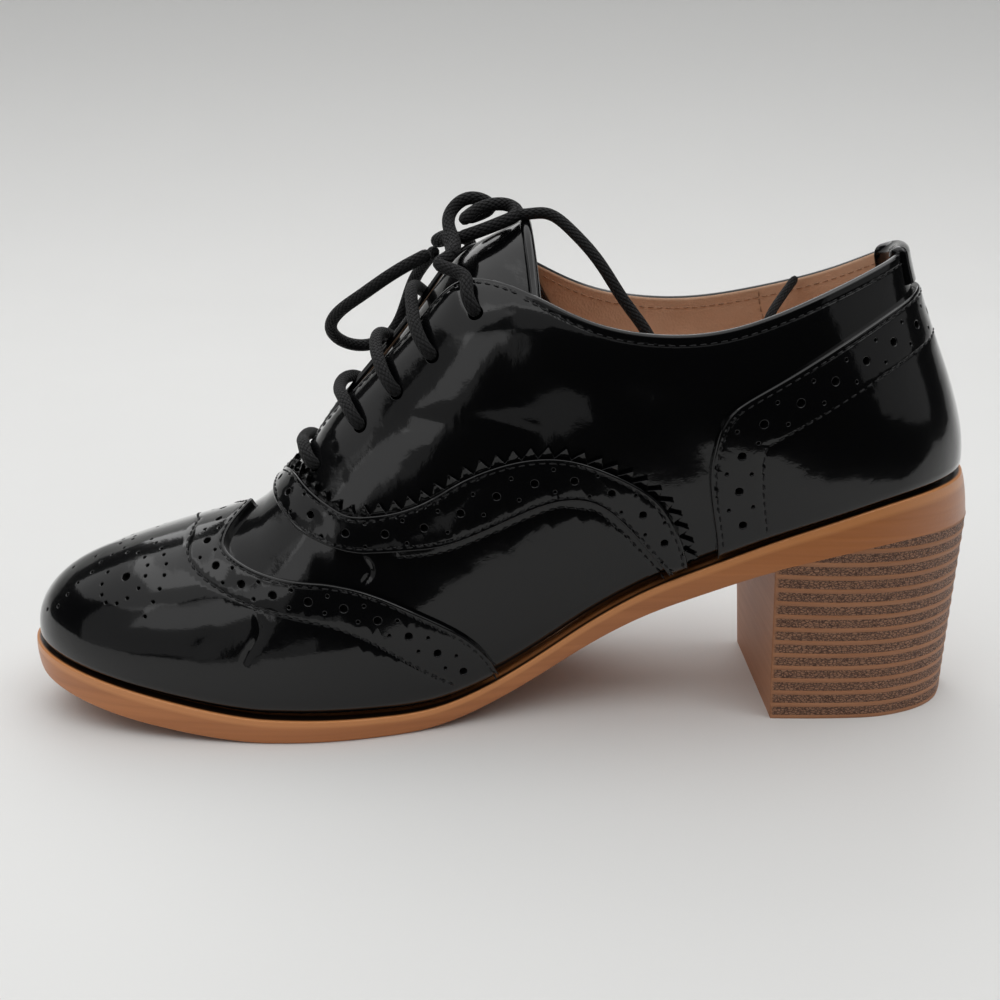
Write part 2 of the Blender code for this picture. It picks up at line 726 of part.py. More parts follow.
def heel_plan(u: np.ndarray, level: float) -> np.ndarray:
    """Heel outline at a height, from the floor's outline to the sole's."""
    around = np.abs(u)
    foot = spline([p.at for p in HEEL_FOOT], [(p.x * LENGTH, p.y * WIDTH) for p in HEEL_FOOT], around)
    foot[:, 1] = HEEL_AXIS * WIDTH + np.sign(u) * foot[:, 1]
    seat = outline(u, underside_ledge(u))
    share = np.clip(level / sole_bottom(seat[:, 0]), 0, 1)[:, None]
    return foot * (1 - share) + seat * share


def heel() -> bpy.types.Object:
    """Stacked heel: lifts with a fine ridge between them, plain breast, cut to the sole."""
    side = HEEL_BREAST + (1 - HEEL_BREAST) * np.linspace(0, 1, HEEL_STEPS + 1) ** BACK_CROWDING
    u = np.concatenate([-side, side[-2::-1]])
    pitch = HEEL_HEIGHT / LIFTS
    levels = [(0.0, 0.0)]
    for k in range(LIFTS + 1):
        centre = pitch * (k + LIFT_SHARE / 2)
        half = pitch * LIFT_SHARE / 2
        levels += [(centre, LIFT_RIDGE), (centre + half, 0.0)]
    rings = []
    for level, swell in levels:
        plan = heel_plan(u, level)
        middle = np.array([plan[0, 0], HEEL_AXIS * WIDTH])
        away = plan - middle
        away = away / np.linalg.norm(away, axis=1, keepdims=True)
        fade = np.ones(len(u))
        fade[0] = fade[-1] = 0.0
        plan = plan + away * (swell * fade)[:, None]
        rings.append(np.column_stack([plan, np.full(len(u), level)]))
    grid = np.array(rings)
    count = len(u)
    faces = grid_faces(len(grid), count, 0)
    for i in range(len(grid) - 1):
        a = i * count
        faces.append((a + count - 1, a, a + count, a + 2 * count - 1))
    faces.append(tuple(range(count)))
    faces.append(tuple(reversed(range((len(grid) - 1) * count, len(grid) * count))))
    block = add_mesh("heel", grid.reshape(-1, 3), faces, "heel_stack")
    cut = block.modifiers.new("seat", "BOOLEAN")
    cut.operation = "DIFFERENCE"
    cut.solver = "EXACT"
    cut.object = seat_cutter()
    return block


def seat_cutter() -> bpy.types.Object:
    """Block whose lower face follows the sole's underside, for cutting the heel."""
    x = np.linspace(*CUTTER_ENDS, CUTTER_STEPS) * LENGTH
    sides = [np.full(CUTTER_STEPS, y) for y in (-WIDTH, WIDTH)]
    seat = sole_bottom(x) - LAYER_GAP
    roof = np.full(CUTTER_STEPS, HEEL_HEIGHT * CUTTER_HEIGHT)
    low = np.array([np.column_stack([x, y, seat]) for y in sides])
    high = np.array([np.column_stack([x, y, roof]) for y in sides])
    rims = {"first": every(CUTTER_STEPS), "last": every(CUTTER_STEPS), "left": [0], "right": [0]}
    cutter = shell("seat_cutter", low, high, rims, "heel_stack")
    cutter.hide_render = True
    cutter.display_type = "WIRE"
    return cutter


class Waypoint(NamedTuple):
    """A point of a lace's route: x over LENGTH, y over WIDTH, height over the instep's sole."""

    x: float
    y: float
    rise: float


INSTEP = 0.1451
LACE_ROUTES = {
    "lace_knot": [
        Waypoint(-0.0646, -0.150, 1.039),
        Waypoint(-0.0574, -0.174, 1.030),
        Waypoint(-0.0487, -0.156, 1.046),
        Waypoint(-0.0472, -0.114, 1.071),
        Waypoint(-0.0527, -0.072, 1.094),
        Waypoint(-0.0614, -0.036, 1.080),
    ],
    "lace_loop_front": [
        Waypoint(-0.0681, -0.120, 1.050),
        Waypoint(-0.0986, -0.108, 0.999),
        Waypoint(-0.1411, -0.072, 0.908),
        Waypoint(-0.1664, -0.024, 0.844),
        Waypoint(-0.1772, 0.035, 0.783),
        Waypoint(-0.1699, 0.095, 0.730),
        Waypoint(-0.1461, 0.143, 0.702),
        Waypoint(-0.1214, 0.166, 0.729),
        Waypoint(-0.1045, 0.172, 0.811),
        Waypoint(-0.0935, 0.155, 0.906),
        Waypoint(-0.0787, 0.089, 0.986),
        Waypoint(-0.0654, 0.009, 1.042),
    ],
    "lace_loop_upper": [
        Waypoint(-0.0498, -0.055, 1.120),
        Waypoint(-0.0491, -0.018, 1.159),
        Waypoint(-0.0401, -0.001, 1.192),
        Waypoint(-0.0229, -0.001, 1.207),
        Waypoint(-0.0088, 0.017, 1.180),
        Waypoint(-0.0191, 0.041, 1.153),
        Waypoint(-0.0335, 0.035, 1.138),
    ],
    "lace_loop_back": [
        Waypoint(-0.0396, -0.082, 1.092),
        Waypoint(-0.0184, -0.102, 1.116),
        Waypoint(0.0044, -0.096, 1.143),
        Waypoint(0.0184, -0.072, 1.168),
        Waypoint(0.0125, -0.042, 1.186),
        Waypoint(-0.0036, -0.048, 1.193),
        Waypoint(-0.0235, -0.066, 1.173),
        Waypoint(-0.0374, -0.084, 1.141),
    ],
    "lace_end_long": [
        Waypoint(0.0282, -0.084, 1.166),
        Waypoint(0.0460, -0.096, 1.170),
        Waypoint(0.0703, -0.132, 1.125),
        Waypoint(0.0990, -0.192, 1.030),
        Waypoint(0.1234, -0.227, 0.917),
        Waypoint(0.1463, -0.245, 0.818),
        Waypoint(0.1639, -0.239, 0.701),
        Waypoint(0.1942, -0.192, 0.565),
        Waypoint(0.2365, -0.096, 0.512),
        Waypoint(0.2690, -0.001, 0.615),
        Waypoint(0.2860, 0.047, 0.814),
        Waypoint(0.3004, 0.089, 0.873),
        Waypoint(0.3177, 0.125, 0.937),
    ],
}


def tube(name: str, route: np.ndarray, spacing: float) -> bpy.types.Object:
    """A round lace along a smooth route, with closed ends."""
    chord = np.concatenate([[0], np.cumsum(np.linalg.norm(np.diff(route, axis=0), axis=1))])
    count = max(4, int(round(chord[-1] / spacing)) + 1)
    path = spline(chord, route, np.linspace(0, chord[-1], count))
    curve = bpy.data.curves.new(name, "CURVE")
    curve.dimensions = "3D"
    curve.bevel_depth = LACE / 2
    curve.bevel_resolution = LACE_SIDES
    curve.use_fill_caps = True
    line = curve.splines.new("POLY")
    line.points.add(len(path) - 1)
    for point, place in zip(line.points, path):
        point.co = (*place, 1.0)
    curve.materials.append(material("lace_black"))
    thing = bpy.data.objects.new(name, curve)
    bpy.context.scene.collection.objects.link(thing)
    return thing


def lace_bars() -> list:
    """The straight bars over the lower four pairs of eyelets."""
    bars = []
    for number, hole in enumerate(EYELETS[:-1], 1):
        v = hole.v + (1 - hole.v) * np.array(BAR_PLACES)
        near = layer(-hole.u, v, LACE / 2 + BAR_CLEARANCE)
        far = layer(hole.u, v, LACE / 2 + BAR_CLEARANCE)
        bars.append(tube(f"lace_bar_{number}", np.vstack([near, far[::-1]]), LACE * BAR_SPACING))
    return bars


def lace_rises() -> list:
    """Strands from the top pair of eyelets up to the knot."""
    hole = EYELETS[-1]
    knot = LACE_ROUTES["lace_knot"]
    made = []
    for name, side, end in (("lace_rise_near", -1, knot[1]), ("lace_rise_far", 1, knot[-1])):
        v = hole.v + (1 - hole.v) * np.array(RISE_PLACES)
        strand = layer(side * hole.u, v, LACE / 2 + BAR_CLEARANCE)
        way = waypoint(end) - strand[-1]
        stop = strand[-1] + way * (1 - RISE_STOP / np.linalg.norm(way))
        made.append(tube(name, np.vstack([strand, stop]), LACE * BAR_SPACING))
    return made


def waypoint(point: Waypoint) -> np.ndarray:
    """A route's point in metres."""
    floor = float(sole_top(np.array([INSTEP * LENGTH]))[0])
    return np.array([point.x * LENGTH, point.y * WIDTH, floor + point.rise * UPPER_DEPTH])


def lace_cords() -> list:
    """Knot, loops and ends."""
    return [tube(name, np.array([waypoint(p) for p in points]), LACE * CORD_SPACING)
            for name, points in LACE_ROUTES.items()]


def build() -> None:
    """Clear the scene and make every sub-part."""
    for thing in list(bpy.data.objects):
        bpy.data.objects.remove(thing, do_unlink=True)
    outsole()
    heel()
    insole()
    upper()
    tongue()
    toe_cap()
    vamp_band()
    heel_counter()
    back_strip()
    lace_bars()
    lace_rises()
    lace_cords()


build()
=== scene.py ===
"""Looks of the right heeled oxford shoe: leather panels, stitching, laces, sole, heel and soft light."""
import logging
from dataclasses import dataclass, field
from enum import Enum
from functools import cached_property
from typing import NamedTuple, Optional

import bpy
import numpy as np
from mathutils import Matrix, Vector
from mathutils.geometry import delaunay_2d_cdt
from mathutils.kdtree import KDTree

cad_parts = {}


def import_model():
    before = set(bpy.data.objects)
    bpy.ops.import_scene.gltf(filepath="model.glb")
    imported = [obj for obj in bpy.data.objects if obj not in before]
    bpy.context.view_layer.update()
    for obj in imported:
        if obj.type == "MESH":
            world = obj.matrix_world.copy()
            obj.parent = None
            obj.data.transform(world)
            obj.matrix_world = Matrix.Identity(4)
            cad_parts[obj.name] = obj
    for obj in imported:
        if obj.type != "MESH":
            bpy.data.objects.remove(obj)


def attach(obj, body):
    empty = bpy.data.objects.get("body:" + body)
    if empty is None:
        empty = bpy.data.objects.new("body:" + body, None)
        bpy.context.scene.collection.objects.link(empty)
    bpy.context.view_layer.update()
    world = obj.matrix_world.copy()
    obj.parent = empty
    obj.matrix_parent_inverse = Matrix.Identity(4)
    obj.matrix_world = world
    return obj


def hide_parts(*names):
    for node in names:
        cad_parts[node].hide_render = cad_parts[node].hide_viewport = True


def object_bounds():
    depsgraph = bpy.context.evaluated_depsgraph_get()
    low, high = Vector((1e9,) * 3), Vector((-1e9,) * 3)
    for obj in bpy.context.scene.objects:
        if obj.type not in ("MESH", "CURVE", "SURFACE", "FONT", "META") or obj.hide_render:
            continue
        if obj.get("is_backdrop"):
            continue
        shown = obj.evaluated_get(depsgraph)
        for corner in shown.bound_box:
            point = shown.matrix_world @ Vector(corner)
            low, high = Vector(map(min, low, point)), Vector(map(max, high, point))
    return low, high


LOG = logging.getLogger("oxford")
BODY = "root"
# Step of u and v for slopes of the skin.
STEP = 0.001
# Metres for one unit of u and v where a panel's triangles are laid out flat.
FLAT = (0.28, 0.060)
# How far a panel dips under the sole's edge, and how high up the dip begins.
TUCK = 0.0024
TUCK_TOP = 0.055
# Spacing of the places along a panel's edge path, metres.
SAMPLE = 0.0012
# Groove that a seam pulls into the leather: step along it, width, and rows of points across it, metres.
GROOVE_STEP = 0.00025
GROOVE_WIDTH = 0.00042
GROOVE_ROWS = (-0.0006, -0.0003, 0.0, 0.0003, 0.0006)
# Punched hole: width of its rounded lip, then for each ring how far in, how deep and its tilt in degrees.
LIP = 0.00016
LIP_RINGS = ((0.00006, 0.00005, 50), (0.00012, 0.00030, 88))
# Share of u over which the topline's fold grows from nothing at the throat.
FOLD_GROWS = 0.012


class Station(NamedTuple):
    """One station around the last, from the toe tip (0) to the heel's back (1).

    Columns: place along the perimeter; x of the feather edge as a share of LENGTH; y of the feather
    edge, inner and outer side, as shares of WIDTH; the top edge the same way; height of the top edge
    above the sole as a share of UPPER_DEPTH and how much the outer side adds; lean of the wall at the
    sole and dip of the surface at the top, degrees; how far each tangent pulls, shares of UPPER_DEPTH
    and WIDTH; width of the sole's ledge and how far its lower edge draws in, shares of WIDTH.
    """

    at: float
    foot_x: float
    foot_in: float
    foot_out: float
    top_x: float
    top_in: float
    top_out: float
    rise: float
    rise_out: float
    lean: float
    foot_pull: float
    dip: float
    top_pull: float
    ledge: float
    draft: float


LAST = [Station(*row) for row in [
    (0.0, -0.4869, -0.144, -0.144, -0.4007, -0.126, -0.126, 0.290, 0.0, 12, 0.142, 0, 0.167, 0.038, 0.005),
    (0.05, -0.4684, -0.275, 0.017, -0.3740, -0.126, -0.126, 0.328, 0.0, 12, 0.155, 0, 0.203, 0.036, 0.005),
    (0.11, -0.4171, -0.376, 0.190, -0.3432, -0.120, -0.120, 0.390, 0.0, 10, 0.181, 0, 0.239, 0.033, 0.005),
    (0.19, -0.3432, -0.436, 0.334, -0.3002, -0.114, -0.114, 0.479, 0.0, 8, 0.219, 0, 0.263, 0.031, 0.006),
    (0.28, -0.2530, -0.466, 0.435, -0.2550, -0.114, -0.114, 0.593, 0.0, 6, 0.258, 0, 0.286, 0.031, 0.007),
    (0.36, -0.1709, -0.464, 0.471, -0.2119, -0.108, -0.108, 0.739, 0.0, 5, 0.310, 0, 0.310, 0.029, 0.010),
    (0.44, -0.0868, -0.418, 0.459, -0.1709, -0.126, -0.024, 0.920, 0.006, 6, 0.361, 6, 0.310, 0.024, 0.017),
    (0.52, -0.0047, -0.365, 0.405, -0.1176, -0.156, 0.011, 1.025, 0.026, 8, 0.413, 12, 0.310, 0.017, 0.024),
    (0.59, 0.0712, -0.339, 0.345, -0.0704, -0.174, 0.041, 1.041, 0.052, 10, 0.439, 22, 0.310, 0.014, 0.024),
    (0.625, 0.1081, -0.337, 0.322, -0.0458, -0.192, 0.059, 1.039, 0.065, 10, 0.426, 30, 0.31, 0.014, 0.024),
    (0.66, 0.1451, -0.339, 0.310, -0.0170, -0.227, 0.095, 0.996, 0.065, 10, 0.413, 40, 0.310, 0.014, 0.024),
    (0.7, 0.1861, -0.347, 0.292, 0.0261, -0.299, 0.166, 0.902, 0.045, 10, 0.387, 55, 0.286, 0.014, 0.024),
    (0.76, 0.2476, -0.359, 0.280, 0.0999, -0.376, 0.250, 0.725, 0.019, 10, 0.335, 72, 0.239, 0.016, 0.024),
    (0.82, 0.3133, -0.373, 0.268, 0.1902, -0.406, 0.280, 0.621, -0.006, 10, 0.258, 76, 0.239, 0.018, 0.012),
    (0.88, 0.3769, -0.359, 0.244, 0.2764, -0.371, 0.250, 0.623, -0.039, 8, 0.232, 76, 0.239, 0.021, -0.004),
    (0.94, 0.4384, -0.281, 0.161, 0.3584, -0.251, 0.131, 0.675, -0.039, 6, 0.206, 76, 0.239, 0.026, -0.018),
    (0.975, 0.4692, -0.174, 0.053, 0.3954, -0.156, 0.035, 0.708, -0.015, 5, 0.206, 76, 0.239, 0.029, -0.024),
    (1.0, 0.4795, -0.060, -0.060, 0.4056, -0.060, -0.060, 0.716, 0.0, 5, 0.206, 76, 0.239, 0.029, -0.026),
]]


class Profile(NamedTuple):
    """A height at a place along the shoe: x as a share of LENGTH, height as a share of its size."""

    x: float
    height: float


SOLE_UNDERSIDE = [
    Profile(-0.1299, 0.0), Profile(-0.1053, 0.0), Profile(-0.0560, 0.024), Profile(-0.0150, 0.090),
    Profile(0.0220, 0.180), Profile(0.0589, 0.290), Profile(0.0946, 0.404), Profile(0.1303, 0.506),
    Profile(0.1656, 0.592), Profile(0.2025, 0.667), Profile(0.2366, 0.733), Profile(0.2739, 0.804),
    Profile(0.3297, 0.892), Profile(0.3913, 0.965), Profile(0.4487, 0.996), Profile(0.5103, 1.000),
]
SOLE_DEPTH = [
    Profile(-0.5074, 1.000), Profile(-0.3884, 1.079), Profile(-0.2448, 0.895), Profile(-0.1011, 0.789),
    Profile(0.0425, 0.868), Profile(0.1656, 1.000), Profile(0.2723, 1.132), Profile(0.3913, 1.368),
    Profile(0.5103, 1.553),
]


class Edge(NamedTuple):
    """One point of a panel's edge on the skin."""

    u: float
    v: float


class BandStation(NamedTuple):
    """Lower and upper edge of the vamp band at one place between ridge and sole."""

    low_u: float
    low_v: float
    high_u: float
    high_v: float


CAP_EDGE = [
    Edge(0.526, 0.000), Edge(0.512, 0.100), Edge(0.476, 0.230), Edge(0.424, 0.335), Edge(0.348, 0.465),
    Edge(0.283, 0.620), Edge(0.251, 0.720), Edge(0.245, 0.800), Edge(0.254, 0.902), Edge(0.273, 1.000),
]
BAND = [
    BandStation(0.322, 1.000, 0.352, 1.000), BandStation(0.328, 0.860, 0.366, 0.870),
    BandStation(0.342, 0.720, 0.379, 0.740), BandStation(0.362, 0.590, 0.396, 0.640),
    BandStation(0.404, 0.470, 0.416, 0.572), BandStation(0.456, 0.432, 0.449, 0.545),
    BandStation(0.508, 0.398, 0.500, 0.532), BandStation(0.559, 0.367, 0.555, 0.512),
    BandStation(0.616, 0.330, 0.615, 0.458), BandStation(0.646, 0.280, 0.662, 0.402),
    BandStation(0.660, 0.200, 0.697, 0.300), BandStation(0.672, 0.110, 0.705, 0.170),
    BandStation(0.687, 0.020, 0.709, 0.020),
]
COUNTER_FRONT = [
    Edge(0.733, 0.020), Edge(0.736, 0.150), Edge(0.758, 0.340), Edge(0.776, 0.435), Edge(0.797, 0.550),
]
COUNTER_TOP = [
    Edge(0.797, 0.550), Edge(0.822, 0.665), Edge(0.860, 0.738), Edge(0.896, 0.780), Edge(0.945, 0.822),
    Edge(1.000, 0.840),
]
EYELETS = [
    Edge(0.388, 0.800), Edge(0.463, 0.805), Edge(0.521, 0.820), Edge(0.577, 0.820), Edge(0.645, 0.860),
]


class HeelPoint(NamedTuple):
    """Heel outline on the floor: the station it stands under, x over LENGTH and y over WIDTH."""

    at: float
    x: float
    y: float


HEEL_FOOT = [
    HeelPoint(0.790, 0.2883, 0.276), HeelPoint(0.850, 0.3430, 0.277), HeelPoint(0.900, 0.3985, 0.266),
    HeelPoint(0.935, 0.4300, 0.238), HeelPoint(0.960, 0.4555, 0.198), HeelPoint(0.980, 0.4800, 0.126),
    HeelPoint(1.000, 0.4997, 0.0),
]


# Each crease: its places, depth and width in metres.
CREASES = [
    ([(-0.411, 0.460), (-0.417, 0.428), (-0.419, 0.402), (-0.413, 0.386), (-0.402, 0.370)], 0.00055, 0.0009),
    ([(-0.390, 0.350), (-0.360, 0.420), (-0.335, 0.520)], 0.00018, 0.0022),
    ([(-0.640, 0.480), (-0.580, 0.600), (-0.530, 0.700), (-0.500, 0.760)], 0.00035, 0.0030),
    ([(0.400, 0.440), (0.396, 0.390), (0.404, 0.350)], 0.00040, 0.0014),
]


class Hole(NamedTuple):
    """One hole of the medallion."""

    u: float
    v: float
    radius: float = 0.00050


CAP_CREASES = [
    ([(-0.297, 0.430), (-0.300, 0.360), (-0.295, 0.312), (-0.284, 0.258), (-0.277, 0.195)], 0.00045, 0.0010),
    ([(-0.262, 0.330), (-0.240, 0.300), (-0.222, 0.240)], 0.00016, 0.0020),
]
CAP_ROW = [(0.158, 0.995), (0.180, 0.770), (0.216, 0.613), (0.276, 0.480), (0.341, 0.352), (0.405, 0.230),
           (0.476, 0.062)]
MEDALLION = [
    Hole(0.116, 0.610, 0.00115), Hole(0.056, 0.445), Hole(0.056, 0.537), Hole(0.060, 0.625),
    Hole(0.090, 0.555), Hole(0.083, 0.635), Hole(0.054, 0.710), Hole(0.030, 0.763), Hole(0.020, 0.630),
    Hole(0.055, 0.777), Hole(0.079, 0.785), Hole(0.101, 0.775), Hole(0.058, 0.838), Hole(0.121, 0.733),
    Hole(0.116, 0.840), Hole(0.138, 0.782), Hole(0.094, 0.888), Hole(0.150, 0.733), Hole(0.163, 0.672),
    Hole(0.143, 0.610), Hole(0.136, 0.675), Hole(0.169, 0.608), Hole(0.143, 0.542), Hole(0.171, 0.537),
    Hole(0.169, 0.473), Hole(0.135, 0.487), Hole(0.125, 0.455), Hole(0.111, 0.453), Hole(0.100, 0.492),
    Hole(0.165, 0.400), Hole(0.040, 0.290), Hole(0.054, 0.352), Hole(0.030, 0.917), Hole(0.040, 0.955),
]
# Middle of each cord's route, metres.
ROUTES = {
    "lace_knot": [
        (-0.0157, -0.0126, 0.1157), (-0.0140, -0.0146, 0.1150), (-0.0119, -0.0131, 0.1162),
        (-0.0115, -0.0096, 0.1182), (-0.0128, -0.0060, 0.1200), (-0.0150, -0.0030, 0.1189),
    ],
    "lace_loop_front": [
        (-0.0166, -0.0101, 0.1165), (-0.0240, -0.0091, 0.1126), (-0.0344, -0.0060, 0.1055),
        (-0.0406, -0.0020, 0.1006), (-0.0432, 0.0029, 0.0959), (-0.0414, 0.0080, 0.0917),
        (-0.0356, 0.0120, 0.0896), (-0.0296, 0.0139, 0.0917), (-0.0255, 0.0144, 0.0980),
        (-0.0228, 0.0130, 0.1054), (-0.0192, 0.0075, 0.1116), (-0.0159, 0.0008, 0.1159),
    ],
    "lace_loop_upper": [
        (-0.0121, -0.0046, 0.1220), (-0.0120, -0.0015, 0.1250), (-0.0098, -0.0001, 0.1276),
        (-0.0056, -0.0001, 0.1287), (-0.0021, 0.0014, 0.1266), (-0.0047, 0.0034, 0.1245),
        (-0.0082, 0.0029, 0.1234),
    ],
    "lace_loop_back": [
        (-0.0097, -0.0069, 0.1198), (-0.0045, -0.0085, 0.1217), (0.0011, -0.0080, 0.1238),
        (0.0045, -0.0060, 0.1257), (0.0030, -0.0035, 0.1271), (-0.0009, -0.0040, 0.1276),
        (-0.0057, -0.0055, 0.1261), (-0.0091, -0.0070, 0.1236),
    ],
    "lace_end_long": [
        (0.0069, -0.0070, 0.1255), (0.0112, -0.0080, 0.1258), (0.0171, -0.0111, 0.1224),
        (0.0241, -0.0161, 0.1150), (0.0301, -0.0190, 0.1062), (0.0357, -0.0205, 0.0986),
        (0.0399, -0.0200, 0.0895), (0.0473, -0.0161, 0.0790), (0.0576, -0.0080, 0.0749),
        (0.0656, -0.0001, 0.0828), (0.0697, 0.0039, 0.0983), (0.0732, 0.0075, 0.1028),
        (0.0774, 0.0105, 0.1078),
    ],
}


def unit(vectors: np.ndarray) -> np.ndarray:
    """Vectors scaled to length one."""
    size = np.linalg.norm(vectors, axis=-1, keepdims=True)
    return vectors / np.maximum(size, 1e-12)


def smooth(share: np.ndarray) -> np.ndarray:
    """Smooth step from 0 to 1."""
    share = np.clip(share, 0, 1)
    return share * share * (3 - 2 * share)


class Spline:
    """Natural cubic spline through rows of values."""

    def __init__(self, knots: np.ndarray, values: np.ndarray) -> None:
        """Solves the spline.

        Args:
            knots: rising places.
            values: one row or number for each place.
        """
        self.knots = np.asarray(knots, float)
        values = np.asarray(values, float)
        self.flat = values.ndim == 1
        self.values = values[:, None] if self.flat else values
        count = len(self.knots)
        step = np.diff(self.knots)
        matrix = np.eye(count)
        right = np.zeros_like(self.values)
        slope = np.diff(self.values, axis=0) / step[:, None]
        for i in range(1, count - 1):
            matrix[i, i - 1:i + 2] = (step[i - 1], 2 * (step[i - 1] + step[i]), step[i])
            right[i] = 6 * (slope[i] - slope[i - 1])
        self.bend = np.linalg.solve(matrix, right)

    def __call__(self, at: np.ndarray) -> np.ndarray:
        """Value at each place.

        Args:
            at: places.

        Returns:
            One row or number for each place.
        """
        at = np.asarray(at, float)
        shape = at.shape
        at = at.ravel()
        i = np.clip(np.searchsorted(self.knots, at) - 1, 0, len(self.knots) - 2)
        gap = (self.knots[i + 1] - self.knots[i])[:, None]
        left = (self.knots[i + 1] - at)[:, None]
        rest = (at - self.knots[i])[:, None]
        out = (self.bend[i] * left ** 3 + self.bend[i + 1] * rest ** 3) / (6 * gap)
        out = out + (self.values[i] / gap - self.bend[i] * gap / 6) * left
        out = out + (self.values[i + 1] / gap - self.bend[i + 1] * gap / 6) * rest
        return out[:, 0].reshape(shape) if self.flat else out.reshape(shape + (-1,))


def curve(rows: list, count: int) -> np.ndarray:
    """Places spread evenly on a smooth line through the rows."""
    return Spline(np.linspace(0, 1, len(rows)), np.array(rows))(np.linspace(0, 1, count))


def distances(points: np.ndarray) -> np.ndarray:
    """How far each point lies along its path."""
    return np.concatenate([[0], np.cumsum(np.linalg.norm(np.diff(points, axis=0), axis=1))])


def between(rows: np.ndarray, knots: np.ndarray, at: np.ndarray) -> np.ndarray:
    """Rows read between their knots."""
    return np.stack([np.interp(at, knots, column) for column in rows.T], 1)


def along(path: np.ndarray, share: np.ndarray) -> np.ndarray:
    """Places at shares of a path's samples."""
    return between(path, np.linspace(0, 1, len(path)), share)


class Frame(NamedTuple):
    """Points of the skin with their two tangents and outward normals."""

    point: np.ndarray
    along: np.ndarray
    rise: np.ndarray
    normal: np.ndarray


